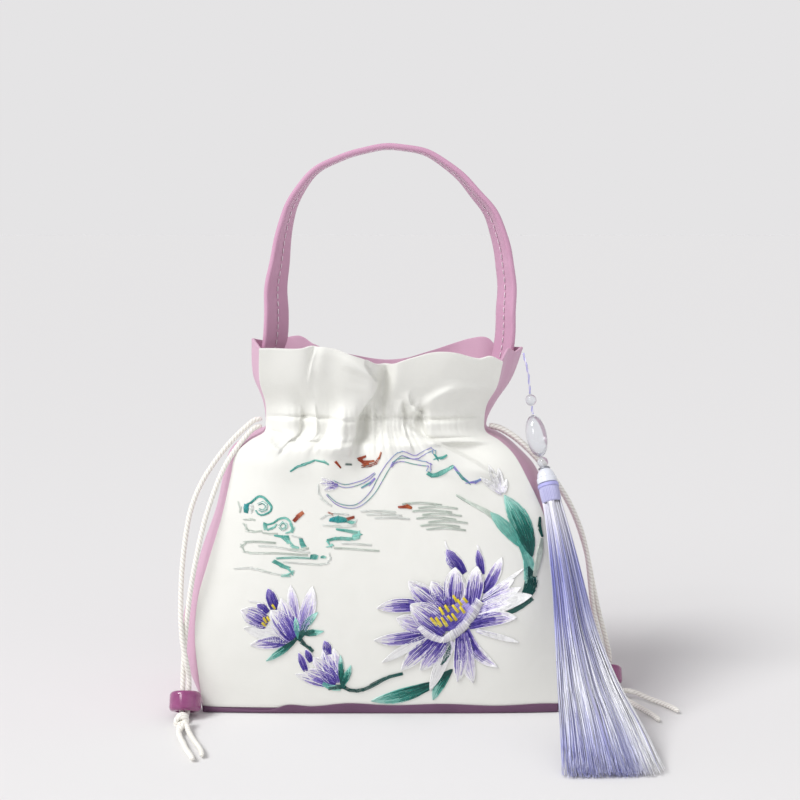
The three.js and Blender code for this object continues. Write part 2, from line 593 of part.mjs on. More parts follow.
/** A barrel bead with a wide hole, its axis down a direction. */
function barrelBead(centre, down) {
  const rounding = beadRounding;
  const [inside, outside] = [beadHoleRadius + rounding, beadRadius - rounding];
  const end = beadHeight / 2 - rounding;
  const profile = [
    ...arc(outside, -end, rounding, rounding, -90, 0, 3),
    ...arc(outside, end, rounding, rounding, 0, 90, 3),
    ...arc(inside, end, rounding, rounding, 90, 180, 2),
    ...arc(inside, -end, rounding, rounding, 180, 270, 2),
  ];
  profile.push(profile[0]);
  return turned(profile, centre, down);
}

/** A knot of two lumps with its tails fused on. */
function knotBody(centre, tails) {
  const lumps = knotLumps.map(({ x, y, size }) => new THREE
    .SphereGeometry(knotRadius * size, lumpSides, lumpRows)
    .translate(centre.x + x * knotRadius, centre.y + y * knotRadius, centre.z));
  const routes = tails.map((tail) => [centre.toArray(), ...tail]);
  return fused([...lumps, ...routes.map((route) => tube(route, tailDiameter, tailSteps))]);
}

/** The skirt: tapered locks that fan out, with the wrapped head they hang from. */
function skirtBody(headCentre, headDown) {
  const centres = new THREE.CatmullRomCurve3([headCentre, ...skirt.map(placed)]);
  const shares = [skirt[0], ...skirt].map((row, index) => ({ ...row, share: index / skirt.length }));
  const ringAt = (share, aside, lift, wideShare, thickShare, corners) => {
    const wide = readTable(shares, "share", "wide", share) * skirtHalfWidth;
    const thick = readTable(shares, "share", "thick", share) * skirtHalfWidth;
    const tangent = centres.getTangent(share);
    const across = new THREE.Vector3(1, 0, 0).addScaledVector(tangent, -tangent.x).normalize();
    const outwards = new THREE.Vector3().crossVectors(tangent, across);
    const centre = centres.getPoint(share).addScaledVector(across, aside * wide)
      .addScaledVector(outwards, lift * thick);
    return Array.from({ length: corners }, (_, corner) => {
      const angle = (2 * Math.PI * corner) / corners;
      const point = centre.clone().addScaledVector(across, wideShare * wide * Math.cos(angle))
        .addScaledVector(outwards, thickShare * thick * Math.sin(angle));
      point.z = Math.max(point.z, floorGap);
      return point;
    });
  };
  const stepShares = Array.from({ length: lockSteps + 1 }, (_, step) => step / lockSteps);
  const core = ringBody(stepShares.map((share) => (
    ringAt(share * coreReach, 0, 0, coreWide, coreThick, coreCorners))));
  const lockBody = (lock) => {
    const fan = (2 * lock) / (lockCount - 1) - 1;
    const layer = lock % 2 === 0 ? 1 : -1;
    const lift = layer * lockLift * (1 - fan * fan / 2);
    const reach = 1 - lockStagger * ((lock * 5) % 4);
    return ringBody(stepShares.map((share) => {
      const tip = share === 1 ? lockTip : 1;
      return ringAt(share * reach, fan * lockSpread, lift, lockWide * tip, lockThick * tip, lockCorners);
    }));
  };
  const locks = Array.from({ length: lockCount }, (_, lock) => lockBody(lock));
  const half = headLength / 2;
  const head = turned([[0, -half], [headRadius, -half], [headRadius * headSwell, 0],
    [headRadius, half], [0, half]], headCentre, headDown);
  return fused([head, core, ...locks]);
}

const purse = new THREE.Group();

/** Adds a named sub-part with its own finish. */
function addPart(name, geometry, finish) {
  const mesh = new THREE.Mesh(geometry, new THREE.MeshStandardMaterial(finish));
  mesh.name = name;
  purse.add(mesh);
}

const whiteSatin = { color: "#f4f4f2", roughness: 0.5 };
const pinkSatin = { color: "#d49ab8", roughness: 0.6 };
const ivoryCord = { color: "#f0eee6", roughness: 0.8 };
const plumResin = { color: "#a0447e", roughness: 0.2 };
const clearBead = { color: "#e8ecee", roughness: 0.1 };
const pearlCap = { color: "#f2f0ee", roughness: 0.3 };
const silkThread = { color: "#8f8fd8", roughness: 0.6 };

const [rightOuter, rightInner] = [rights.map((row) => row.outer), rights.map((row) => row.inner)];
const [leftOuter, leftInner] = [lefts.map((row) => row.outer), lefts.map((row) => row.inner)];
addPart("base_panel", baseBody(), pinkSatin);
addPart("front_panel", sheetBody(fronts, fronts.map(innerRow)), whiteSatin);
addPart("back_panel", sheetBody(backs, backs.map(innerRow)), pinkSatin);
addPart("right_gusset", sheetBody(rightOuter, rightInner), pinkSatin);
addPart("left_gusset", sheetBody(leftOuter, leftInner), pinkSatin);
addPart("handle_strap", strapBody(), pinkSatin);

// The drawstring. Each bead stands on the floor with its lower end turned to the front,
// over two strands that run on to a knot in front of it.
addPart("left_cord_outer", tube(leftOuterRoute, cordDiameter, cordSteps), ivoryCord);
addPart("left_cord_inner", tube(leftInnerRoute, cordDiameter, cordSteps), ivoryCord);
addPart("right_cord_outer", tube(rightOuterRoute, cordDiameter, cordSteps), ivoryCord);
addPart("right_cord_inner", tube(rightInnerRoute, cordDiameter, cordSteps), ivoryCord);
addPart("left_bead", barrelBead(leftBeadCentre, beadDown), plumResin);
addPart("right_bead", barrelBead(rightBeadCentre, beadDown), plumResin);
addPart("left_knot", knotBody(leftKnotCentre, leftTails), ivoryCord);
addPart("right_knot", knotBody(rightKnotCentre, rightTails), ivoryCord);

// The pendant: each piece starts a gap below the one before it on the hanging line
const pendant = new THREE.CatmullRomCurve3(pendantRoute.map(placed));
const pendantLength = pendant.getLength();
let hung = 0;

/** Takes the next stretch of the hanging line: its two ends, middle and way down. */
function hang(length) {
  const at = (distance) => pendant.getPointAt(Math.min(1, distance / pendantLength));
  const [top, middle, bottom] = [at(hung), at(hung + length / 2), at(hung + length)];
  hung += length + seamGap;
  return { top, middle, bottom, down: bottom.clone().sub(top).normalize() };
}

/** A thread down the next stretch of the hanging line. */
function hungThread(length) {
  const { top, middle, bottom } = hang(length);
  const route = [top, middle, bottom].map((point) => point.toArray());
  return tube(route, threadDiameter, threadSteps);
}

/** A solid of revolution down the next stretch of the hanging line. */
function hungTurning(length, profile) {
  const { middle, down } = hang(length);
  return turned(profile, middle, down);
}

/** A round bead of the pendant, or a longer drop. */
function hungBead(radius, length) {
  return hungTurning(length, arc(0, 0, radius, length / 2, -90, 90, 8));
}

const capHalf = (capDome + capBand) / 2;
const capProfile = [[0, -capHalf], [capRadius, -capHalf], [capRadius, -capHalf + capBand],
  ...arc(0, -capHalf + capBand, capRadius * capShoulder, capDome, 0, 90, 5)];
addPart("tassel_thread", hungThread(threadLength), silkThread);
addPart("tassel_bead", hungBead(clearBeadRadius, 2 * clearBeadRadius), clearBead);
addPart("tassel_link", hungThread(linkLength), silkThread);
addPart("tassel_drop", hungBead(dropRadius, dropHeight), clearBead);
addPart("tassel_neck_bead", hungBead(neckBeadRadius, 2 * neckBeadRadius), clearBead);
addPart("tassel_cap", hungTurning(capDome + capBand, capProfile), pearlCap);
const head = hang(headLength);
addPart("tassel_skirt", skirtBody(head.middle, head.down), silkThread);

export default purse;
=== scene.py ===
"""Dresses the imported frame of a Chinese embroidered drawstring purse.

A white satin front with silk embroidery, a pink satin back, gussets, base and strap, a
twisted drawstring with two resin beads, and a silk tassel on a string of clear beads.
Metres, +Z up, front towards -Y, as in the frame.
"""

import logging
import math
from dataclasses import dataclass
from enum import Enum
from typing import Callable, NamedTuple, Sequence

import bmesh
import bpy
import numpy as np
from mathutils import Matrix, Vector
from mathutils.bvhtree import BVHTree


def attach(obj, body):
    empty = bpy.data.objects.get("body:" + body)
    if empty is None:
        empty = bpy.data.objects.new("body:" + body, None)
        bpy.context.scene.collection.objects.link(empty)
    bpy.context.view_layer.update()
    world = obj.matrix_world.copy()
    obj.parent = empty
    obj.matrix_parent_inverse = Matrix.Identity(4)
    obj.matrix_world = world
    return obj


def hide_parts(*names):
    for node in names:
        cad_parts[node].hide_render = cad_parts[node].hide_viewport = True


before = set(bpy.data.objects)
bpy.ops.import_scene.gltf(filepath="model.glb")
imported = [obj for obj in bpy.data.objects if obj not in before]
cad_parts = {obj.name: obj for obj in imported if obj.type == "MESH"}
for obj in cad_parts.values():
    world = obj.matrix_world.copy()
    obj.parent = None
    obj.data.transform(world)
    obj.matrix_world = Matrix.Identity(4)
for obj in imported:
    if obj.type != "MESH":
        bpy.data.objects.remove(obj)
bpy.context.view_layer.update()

log = logging.getLogger("purse")
MM = 0.001
TURN = 2 * math.pi
Values = np.ndarray
Pixel = tuple[float, float]
Place = tuple[float, float, float]
Mesh = bpy.types.Mesh
Material = bpy.types.Material
Object = bpy.types.Object


# Numbers and curves

def linear(hex_colour: str) -> tuple[float, float, float, float]:
    """Turns an sRGB hex colour to linear light.

    Args:
        hex_colour: A colour such as "#f4f4f2".

    Returns:
        Linear red, green and blue, and an alpha of 1.
    """
    shares = [int(hex_colour[start:start + 2], 16) / 255 for start in (1, 3, 5)]
    red, green, blue = (
        share / 12.92 if share <= 0.04045 else ((share + 0.055) / 1.055) ** 2.4 for share in shares
    )
    return red, green, blue, 1.0


def linear_rows(hex_colours: Sequence[str]) -> Values:
    """Linear red, green and blue of some colours, one row each."""
    return np.array([linear(colour)[:3] for colour in hex_colours])


def smoothstep(value: Values, low: float, high: float) -> Values:
    """A soft step from 0 at low to 1 at high."""
    share = np.clip((value - low) / (high - low), 0, 1)
    return share * share * (3 - 2 * share)


def table(kind: type, *rows: Sequence[object]) -> tuple:
    """Plain rows as rows with named columns."""
    return tuple(kind(*row) for row in rows)


def read_table(rows: Sequence[NamedTuple], column: str, value: Values) -> Values:
    """Reads a smooth curve through one column of a table.

    Args:
        rows: The table, in rising order of its first column.
        column: Name of the column to read.
        value: Places to read at, in the terms of the first column.

    Returns:
        The column's value at each place.
    """
    keys = np.array([row[0] for row in rows])
    levels = np.array([getattr(row, column) for row in rows])
    before = np.maximum(np.arange(len(keys)) - 1, 0)
    after = np.minimum(np.arange(len(keys)) + 1, len(keys) - 1)
    slopes = (levels[after] - levels[before]) / (keys[after] - keys[before])
    row = np.clip(np.searchsorted(keys, value, side="left") - 1, 0, len(keys) - 2)
    span = keys[row + 1] - keys[row]
    share = np.clip((value - keys[row]) / span, 0, 1)
    rising = share * share * (3 - 2 * share)
    flat = levels[row] * (1 - rising) + levels[row + 1] * rising
    swing = (1 - share) * slopes[row] - share * slopes[row + 1]
    return flat + span * share * (1 - share) * swing


def read_columns(at: Values | float, keys: Sequence[float], rows: Values) -> Values:
    """Rows read in straight steps at places among their keys, with the columns last."""
    return np.stack([np.interp(at, keys, column) for column in rows.T], axis=-1)


def smooth_path(points: Sequence[Sequence[float]], count: int) -> Values:
    """Samples a centripetal Catmull-Rom curve through given points.

    Args:
        points: The points that the curve runs through.
        count: How many samples to return, at even steps of the curve's parameter.

    Returns:
        One row for each sample.
    """
    knots = np.asarray(points, float)
    padded = np.vstack([2 * knots[0] - knots[1], knots, 2 * knots[-1] - knots[-2]])
    place = np.linspace(0, len(knots) - 1, count)
    start = np.minimum(place.astype(int), len(knots) - 2)
    share = (place - start)[:, None]
    corners = [padded[start + step] for step in range(4)]
    gaps = [
        np.maximum(np.linalg.norm(later - sooner, axis=1, keepdims=True) ** 0.5, 1e-6)
        for sooner, later in zip(corners, corners[1:])
    ]
    moves = [(later - sooner) / gap for sooner, later, gap in zip(corners, corners[1:], gaps)]
    wide = [(corners[step + 2] - corners[step]) / (gaps[step] + gaps[step + 1]) for step in (0, 1)]
    leave = (moves[0] - wide[0] + moves[1]) * gaps[1]
    arrive = (moves[1] - wide[1] + moves[2]) * gaps[1]
    rise = corners[2] - corners[1]
    bend, twist = 3 * rise - 2 * leave - arrive, leave + arrive - 2 * rise
    return corners[1] + leave * share + bend * share**2 + twist * share**3


def run_length(path: Values) -> Values:
    """Distance along a path at each of its points."""
    return np.concatenate([[0], np.cumsum(np.linalg.norm(np.diff(path, axis=0), axis=1))])


def evenly_spaced(path: Values, count: int) -> Values:
    """The same path with points at equal distances."""
    run = run_length(path)
    return read_columns(np.linspace(0, run[-1], count), run, path)


def unit(vectors: Values) -> Values:
    """Vectors made one long, along the last axis."""
    return vectors / np.maximum(np.linalg.norm(vectors, axis=-1, keepdims=True), 1e-12)


def ring_ways(down: Values, angles: Values) -> Values:
    """Directions square to a way down, at angles about it, one row each."""
    side = unit(np.cross(down, (0, 1, 0)))
    return side * np.cos(angles)[:, None] + np.cross(down, side) * np.sin(angles)[:, None]


def carried_frame(path: Values, first: Sequence[float]) -> tuple[Values, Values]:
    """Carries a direction along a path without twisting it.

    Args:
        path: Points of the path.
        first: The direction to start with.

    Returns:
        For each point the carried direction, and the one square to it and to the path.
    """
    tangents = unit(np.gradient(path, axis=0))
    side = np.array(first, float)
    sides = []
    for tangent in tangents:
        side = unit(side - tangent * np.dot(side, tangent))
        sides.append(side)
    return np.array(sides), np.cross(tangents, sides)


# Nodes and meshes

def add_node(tree: bpy.types.NodeTree, kind: str, inputs: dict[str | int, object] | None = None,
             **settings: object) -> bpy.types.Node:
    """Adds a shader node with its settings and links.

    Args:
        tree: The tree that the node goes into.
        kind: The node's type, without its first word, ShaderNode.
        inputs: For inputs by name or number: a value, or a node or an output to link.
        settings: The node's own properties.

    Returns:
        The node.
    """
    made = tree.nodes.new("ShaderNode" + kind)
    for name, value in settings.items():
        setattr(made, name, value)
    for socket, value in (inputs or {}).items():
        if isinstance(value, bpy.types.Node):
            value = value.outputs[0]
        if isinstance(value, bpy.types.NodeSocket):
            tree.links.new(value, made.inputs[socket])
        else:
            made.inputs[socket].default_value = value
    return made


def bare_material(name: str) -> tuple[Material, bpy.types.NodeTree]:
    """Makes a material without nodes.

    Args:
        name: The material's name.

    Returns:
        The material and its tree.
    """
    material = bpy.data.materials.new(name)
    material.use_nodes = True
    material.node_tree.nodes.clear()
    return material, material.node_tree


def shaded(material: Material, inputs: dict[str, object]) -> Material:
    """Gives a material its Principled shader.

    Args:
        material: The material.
        inputs: Values and links for the shader's sockets.

    Returns:
        The same material.
    """
    shader = add_node(material.node_tree, "BsdfPrincipled", inputs)
    add_node(material.node_tree, "OutputMaterial", {"Surface": shader})
    return material


def mesh_of(shell: bmesh.types.BMesh, name: str) -> Mesh:
    """Turns a bmesh into a mesh, and frees it.

    Args:
        shell: The bmesh.
        name: The mesh's name.

    Returns:
        The mesh.
    """
    mesh = bpy.data.meshes.new(name)
    shell.to_mesh(mesh)
    shell.free()
    return mesh


def coordinates(mesh: Mesh) -> Values:
    """The places of a mesh's vertices, one row each."""
    places = np.empty(len(mesh.vertices) * 3, np.float32)
    mesh.vertices.foreach_get("co", places)
    return places.reshape(-1, 3).astype(float)


def set_coordinates(mesh: Mesh, places: Values) -> None:
    """Moves a mesh's vertices to new places."""
    mesh.vertices.foreach_set("co", places.astype(np.float32).ravel())
    mesh.update()


def set_run_map(mesh: Mesh, name: str, across: Values, along: Values, girth: float = 0.0) -> None:
    """Writes a UV map from one pair of values for each vertex.

    Args:
        mesh: The mesh.
        name: The map's name.
        across: Millimetres across, or shares of the way round a tube.
        along: Millimetres along.
        girth: What the whole way round a tube counts for, or 0 where it is no tube.
    """
    corners = np.empty(len(mesh.loops), np.int32)
    mesh.loops.foreach_get("vertex_index", corners)
    first = across[corners]
    if girth:
        sizes = np.empty(len(mesh.polygons), np.int32)
        mesh.polygons.foreach_get("loop_total", sizes)
        face = np.repeat(np.arange(len(sizes)), sizes)
        highest = np.zeros(len(sizes))
        np.maximum.at(highest, face, first)
        closes = (highest[face] - first > 0.5) & (sizes[face] == 4)
        first = (first + closes) * girth
    pairs = np.column_stack([first, along[corners]]).astype(np.float32)
    mesh.uv_layers.new(name=name).data.foreach_set("uv", pairs.ravel())


def laid_grid(columns: int, rows: int) -> tuple[Mesh, Values, Values]:
    """Makes a flat grid to be shaped.

    Args:
        columns: Faces across it.
        rows: Faces up it.

    Returns:
        The mesh, and for each vertex its share across, and its share up, from 0 to 1.
    """
    shell = bmesh.new()
    bmesh.ops.create_grid(shell, x_segments=columns, y_segments=rows, size=0.5)
    mesh = mesh_of(shell, "grid")
    places = coordinates(mesh)
    return mesh, places[:, 0] + 0.5, places[:, 1] + 0.5


def turned_mesh(profile: Sequence[Pixel], steps: int, centre: Sequence[float],
                down: Sequence[float]) -> Mesh:
    """Spins a profile about an axis.

    Args:
        profile: Radius and height of each of its points, in metres, heights growing upwards.
        steps: Faces round the axis.
        centre: Where the profile's origin goes.
        down: The way that the axis points.

    Returns:
        The closed mesh.
    """
    shell = bmesh.new()
    vertices = [shell.verts.new((radius, 0, height)) for radius, height in profile]
    edges = [shell.edges.new(pair) for pair in zip(vertices, vertices[1:])]
    bmesh.ops.spin(shell, geom=vertices + edges, cent=(0, 0, 0), axis=(0, 0, 1), angle=TURN,
                   steps=steps, use_merge=True, dvec=(0, 0, 0))
    bmesh.ops.remove_doubles(shell, verts=shell.verts, dist=1e-6)
    bmesh.ops.recalc_face_normals(shell, faces=shell.faces)
    turn = Vector((0, 0, -1)).rotation_difference(Vector(down)).to_matrix()
    bmesh.ops.rotate(shell, verts=shell.verts, cent=(0, 0, 0), matrix=turn)
    bmesh.ops.translate(shell, verts=shell.verts, vec=centre)
    return mesh_of(shell, "turned")


def arc(centre: Pixel, reach: float, rise: float, start: float, end: float, steps: int) -> list[Pixel]:
    """Points of an arc in a profile, between two angles in degrees."""
    return [
        (max(0.0, centre[0] + reach * math.cos(angle)), centre[1] + rise * math.sin(angle))
        for angle in np.radians(np.linspace(start, end, steps + 1))
    ]


def add_piece(name: str, mesh: Mesh, finish: Material, slot: str,
              stands_for: Sequence[str] = ()) -> Object:
    """Makes a finished mesh a piece of the purse.

    Args:
        name: The piece's name.
        mesh: Its mesh, in place.
        finish: Its material.
        slot: The record's material slot; not used.
        stands_for: The frame's nodes that it replaces.

    Returns:
        The piece.
    """
    mesh.name = name
    mesh.materials.append(finish)
    mesh.polygons.foreach_set("use_smooth", np.ones(len(mesh.polygons), bool))
    piece = bpy.data.objects.new(name, mesh)
    bpy.context.scene.collection.objects.link(piece)
    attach(piece, "root")
    if stands_for:
        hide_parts(*stands_for)
    log.info("%s: %d faces", name, len(mesh.polygons))
    return piece


@dataclass(frozen=True)
class Strands:
    """Closed tubes of one make, repeated and then laid along paths."""

    count: int
    rings: int
    sides: int
    pitch: float = 3.0

    def straight(self) -> Mesh:
        """Makes the tubes straight and side by side, each one in radius.

        Returns:
            The mesh of all the tubes.
        """
        shell = bmesh.new()
        bmesh.ops.create_cone(shell, cap_ends=True, cap_tris=False, segments=self.sides,
                              radius1=1, radius2=1, depth=1)
        runs = [edge for edge in shell.edges if abs(edge.verts[0].co.z - edge.verts[1].co.z) > 0.5]
        bmesh.ops.subdivide_edges(shell, edges=runs, cuts=self.rings - 2, use_grid_fill=True)
        mesh = mesh_of(shell, "strand")
        if self.count == 1:
            return mesh
        first = bpy.data.objects.new("strand", mesh)
        bpy.context.scene.collection.objects.link(first)
        repeat = first.modifiers.new("repeat", "ARRAY")
        repeat.count = self.count
        repeat.use_relative_offset = False
        repeat.use_constant_offset = True
        repeat.constant_offset_displace = (self.pitch, 0, 0)
        ready = first.evaluated_get(bpy.context.evaluated_depsgraph_get())
        repeated = bpy.data.meshes.new_from_object(ready)
        bpy.data.objects.remove(first)
        return repeated

    def laid(self, paths: Values, broad: Values, up: Values, half_wide: Values | float,
             half_thick: Values | float, colours: Values | None = None, girth: float = 1.0,
             map_name: str = "run") -> Mesh:
        """Lays the tubes along their paths. What is the same for all tubes is given once.

        Args:
            paths: Centre of each ring, by tube, ring and axis.
            broad: Direction of each ring's width, in the same way.
            up: Direction of each ring's thickness, in the same way.
            half_wide: Half width, by tube, ring and side.
            half_thick: Half thickness, by tube, ring and side.
            colours: Colour of each ring, by tube, ring and channel.
            girth: What the way round counts for on the map.
            map_name: Name of the map.

        Returns:
            The mesh, with a UV map of the way round, and millimetres along.
        """
        mesh = self.straight()
        places = coordinates(mesh)
        tube = np.rint(places[:, 0] / self.pitch).astype(int)
        ring = np.rint((places[:, 2] + 0.5) * (self.rings - 1)).astype(int)
        angle = np.arctan2(places[:, 1], places[:, 0] - self.pitch * tube)
        side = np.rint(angle / (TURN / self.sides)).astype(int) % self.sides
        turn = side * TURN / self.sides
        paths = np.broadcast_to(paths, (self.count, self.rings, 3))
        broad, up = (np.broadcast_to(way, paths.shape)[tube, ring] for way in (broad, up))
        wide, thick = (np.broadcast_to(half, (self.count, self.rings, self.sides))[tube, ring, side]
                       for half in (half_wide, half_thick))
        set_coordinates(mesh, paths[tube, ring] + broad * (wide * np.cos(turn))[:, None]
                        + up * (thick * np.sin(turn))[:, None])
        steps = np.linalg.norm(np.diff(paths, axis=1), axis=2)
        along = np.pad(np.cumsum(steps, axis=1), ((0, 0), (1, 0))) / MM
        set_run_map(mesh, map_name, side / self.sides, along[tube, ring], girth)
        if colours is not None:
            own = np.broadcast_to(colours, paths.shape)[tube, ring]
            layer = mesh.color_attributes.new(name="thread", type="FLOAT_COLOR", domain="POINT")
            full = np.column_stack([own, np.ones(len(own))]).astype(np.float32)
            layer.data.foreach_set("color", full.ravel())
        return mesh


def stitch_mesh(starts: Values, ends: Values, normals: Values, width: float, lifts: Values,
                colours: Values, sides: int = 3) -> Mesh:
    """Makes stitches that rise out of cloth, cross it and go back in.

    Args:
        starts: Where each stitch comes up, one row each.
        ends: Where it goes down.
        normals: The way out of the cloth.
        width: Width of the stitches.
        lifts: How far each one's middle stands off the cloth.
        colours: Its colour.
        sides: Faces round it.

    Returns:
        The mesh, with its run map and thread colours.
    """
    shares = np.array([0, 0.1, 0.5, 0.9, 1])[:, None]
    stand = np.array([0.6, 0.95, 1, 0.95, 0.6])[:, None]
    half = width / 2 * np.array([0.45, 0.95, 1, 0.95, 0.45])[:, None]
    paths = (starts[:, None] + (ends - starts)[:, None] * shares
             + normals[:, None] * lifts[:, None, None] * stand)
    broad = unit(np.cross(ends - starts, normals))
    return Strands(len(starts), len(shares), sides).laid(
        paths, broad[:, None], normals[:, None], half, half * 0.7, colours[:, None])


# Finishes

@dataclass(frozen=True)
class Satin:
    """Polyester satin, woven with long floats: a soft sheen, fine ribs and faint creases."""

    name: str
    colour: str
    shade: str
    roughness: float = 0.45
    sheen: float = 0.3
    rib_mm: float = 0.9  # a real rib is about 0.15 mm; it is drawn coarser to show
    rib_height_mm: float = 0.04
    crease_mm: float = 22.0
    crease_height_mm: float = 0.5

    def material(self) -> Material:
        """Builds the cloth's material on its map of millimetres.

        Returns:
            The material.
        """
        material, tree = bare_material(self.name)
        cloth = add_node(tree, "UVMap", uv_map="cloth")
        parts = add_node(tree, "SeparateXYZ", {0: cloth})
        turns = add_node(tree, "Math", {0: parts.outputs[1], 1: TURN / self.rib_mm},
                         operation="MULTIPLY")
        ribs = add_node(tree, "Math", {0: turns}, operation="SINE")
        creases = add_node(tree, "TexNoise", {
            "Vector": cloth, "Scale": 1 / self.crease_mm, "Detail": 2.5, "Distortion": 0.6})
        tone = add_node(tree, "Mix", {0: creases, 6: linear(self.colour), 7: linear(self.shade)},
                        data_type="RGBA")
        ribbed = add_node(tree, "Bump", {
            "Strength": 0.12, "Distance": self.rib_height_mm * MM, "Height": ribs})
        creased = add_node(tree, "Bump", {
            "Strength": 0.6, "Distance": self.crease_height_mm * MM, "Height": creases,
            "Normal": ribbed})
        return shaded(material, {
            "Roughness": self.roughness, "Sheen Weight": self.sheen, "Sheen Roughness": 0.35,
            "Specular IOR Level": 0.35, "Base Color": tone.outputs[2], "Normal": creased})


@dataclass(frozen=True)
class Thread:
    """Dyed thread: its colour is each strand's own, and fine filaments run along it."""

    name: str
    roughness: float
    sheen: float
    filaments: int = 5
    anisotropy: float = 0.0
    filament_height_mm: float = 0.05

    def material(self) -> Material:
        """Builds the thread's material on its run map and its thread colours.

        Returns:
            The material.
        """
        material, tree = bare_material(self.name)
        colour = add_node(tree, "Attribute", attribute_name="thread")
        parts = add_node(tree, "SeparateXYZ", {0: add_node(tree, "UVMap", uv_map="run")})
        turns = add_node(tree, "Math", {0: parts, 1: TURN * self.filaments}, operation="MULTIPLY")
        ridges = add_node(tree, "Math", {0: turns}, operation="SINE")
        bump = add_node(tree, "Bump", {
            "Strength": 0.3, "Distance": self.filament_height_mm * MM, "Height": ridges})
        return shaded(material, {
            "Roughness": self.roughness, "Sheen Weight": self.sheen, "Sheen Roughness": 0.3,
            "Anisotropic": self.anisotropy, "Base Color": colour, "Normal": bump})


@dataclass(frozen=True)
class TwistedCord:
    """Spun polyester cord: matt off-white plies with fibres along them, and painted shade in the grooves
    between the plies.
    """

    name: str = "ivory spun polyester cord"
    colour: str = "#f3f1ea"
    groove_shade: str = "#dcd8d0"
    plies: int = 3
    lay_mm: float = 7.0
    fibre_mm: float = 0.6
    fibre_height_mm: float = 0.15

    def material(self) -> Material:
        """Builds the cord's material on its run map.

        Returns:
            The material.
        """
        material, tree = bare_material(self.name)
        parts = add_node(tree, "SeparateXYZ", {0: add_node(tree, "UVMap", uv_map="run")})
        turned = add_node(tree, "Math", {0: parts.outputs[1], 1: 1 / self.lay_mm, 2: parts},
                          operation="MULTIPLY_ADD")
        angle = add_node(tree, "Math", {0: turned, 1: TURN * self.plies}, operation="MULTIPLY")
        plies = add_node(tree, "Math", {0: angle}, operation="COSINE")
        depth = add_node(tree, "MapRange", {0: plies, 1: -1.0, 2: 0.2})
        # Painted shade: the grooves between the plies are mixed towards the darker groove colour.
        tone = add_node(tree, "Mix", {0: depth, 6: linear(self.groove_shade), 7: linear(self.colour)},
                        data_type="RGBA")
        fibres = add_node(tree, "TexNoise", {
            "Vector": add_node(tree, "TexCoord").outputs["Object"],
            "Scale": 1 / (self.fibre_mm * MM), "Detail": 3.0})
        bump = add_node(tree, "Bump", {
            "Strength": 0.5, "Distance": self.fibre_height_mm * MM, "Height": fibres})
        return shaded(material, {
            "Roughness": 0.75, "Sheen Weight": 0.25, "Sheen Roughness": 0.5,
            "Base Color": tone.outputs[2], "Normal": bump})


@dataclass(frozen=True)
class CastResin:
    """Cast and tumbled resin: a wet gloss over colour with soft clouds in it."""

    name: str
    colour: str
    cloud: str
    cloud_mm: float = 7.0

    def material(self) -> Material:
        """Builds the resin's material on Object coordinates.

        Returns:
            The material.
        """
        material, tree = bare_material(self.name)
        clouds = add_node(tree, "TexNoise", {
            "Vector": add_node(tree, "TexCoord").outputs["Object"],
            "Scale": 1 / (self.cloud_mm * MM), "Detail": 3.0, "Distortion": 1.2})
        tone = add_node(tree, "Mix", {0: clouds, 6: linear(self.colour), 7: linear(self.cloud)},
                        data_type="RGBA")
        return shaded(material, {
            "Roughness": 0.18, "Coat Weight": 0.7, "Coat Roughness": 0.05, "IOR": 1.5,
            "Subsurface Weight": 0.15, "Subsurface Radius": (0.004, 0.001, 0.002),
            "Base Color": tone.outputs[2]})


@dataclass(frozen=True)
class Moulding:
    """A moulded, plated or painted skin: glossy or matt, with the faint unevenness of its flow."""

    name: str
    colour: str
    roughness: float
    metallic: float = 0.0
    transmission: float = 0.0
    coat: float = 0.4
    coat_roughness: float = 0.03
    ior: float = 1.5
    shine: float = 0.5
    flow_mm: float = 2.0
    flow_height_mm: float = 0.05

    def material(self) -> Material:
        """Builds the skin's material on Object coordinates.

        Returns:
            The material.
        """
        material, tree = bare_material(self.name)
        flow = add_node(tree, "TexNoise", {
            "Vector": add_node(tree, "TexCoord").outputs["Object"],
            "Scale": 1 / (self.flow_mm * MM), "Detail": 1.0})
        bump = add_node(tree, "Bump", {
            "Strength": 0.15, "Distance": self.flow_height_mm * MM, "Height": flow})
        return shaded(material, {
            "Base Color": linear(self.colour), "Roughness": self.roughness,
            "Metallic": self.metallic, "Transmission Weight": self.transmission,
            "Coat Weight": self.coat, "Coat Roughness": self.coat_roughness, "IOR": self.ior,
            "Specular IOR Level": self.shine, "Normal": bump})


# Camera, light and floor

@dataclass(frozen=True)
class Viewpoint:
    """The camera at the photograph's angle, which also says where a pixel looks."""

    place: Place = (0.011, -0.800, 0.272)
    pitch_deg: float = 7.1
    focal_px: float = 1400.0
    frame_px: float = 800.0
    sensor_mm: float = 36.0

    def add_camera(self) -> None:
        """Makes it the scene's camera."""
        data = bpy.data.cameras.new("camera")
        data.sensor_width = self.sensor_mm
        data.lens = self.focal_px / self.frame_px * self.sensor_mm
        camera = bpy.data.objects.new("camera", data)
        camera.location = self.place
        camera.rotation_euler = (math.radians(90 - self.pitch_deg), 0, 0)
        bpy.context.scene.collection.objects.link(camera)
        bpy.context.scene.camera = camera

    def rays(self, pixels: Values) -> Values:
        """Where pixels look.

        Args:
            pixels: The pixels, one row each.

        Returns:
            The direction of the ray through each pixel.
        """
        pitch = math.radians(self.pitch_deg)
        right = (pixels[:, 0] - self.frame_px / 2) / self.focal_px
        rise = (self.frame_px / 2 - pixels[:, 1]) / self.focal_px
        return np.column_stack([right, math.cos(pitch) + rise * math.sin(pitch),
                                rise * math.cos(pitch) - math.sin(pitch)])


class Lamp(NamedTuple):
    """A soft box: where it stands, what it faces, its side and its power."""

    name: str
    place: Place
    aim: Place
    side: float
    watts: float


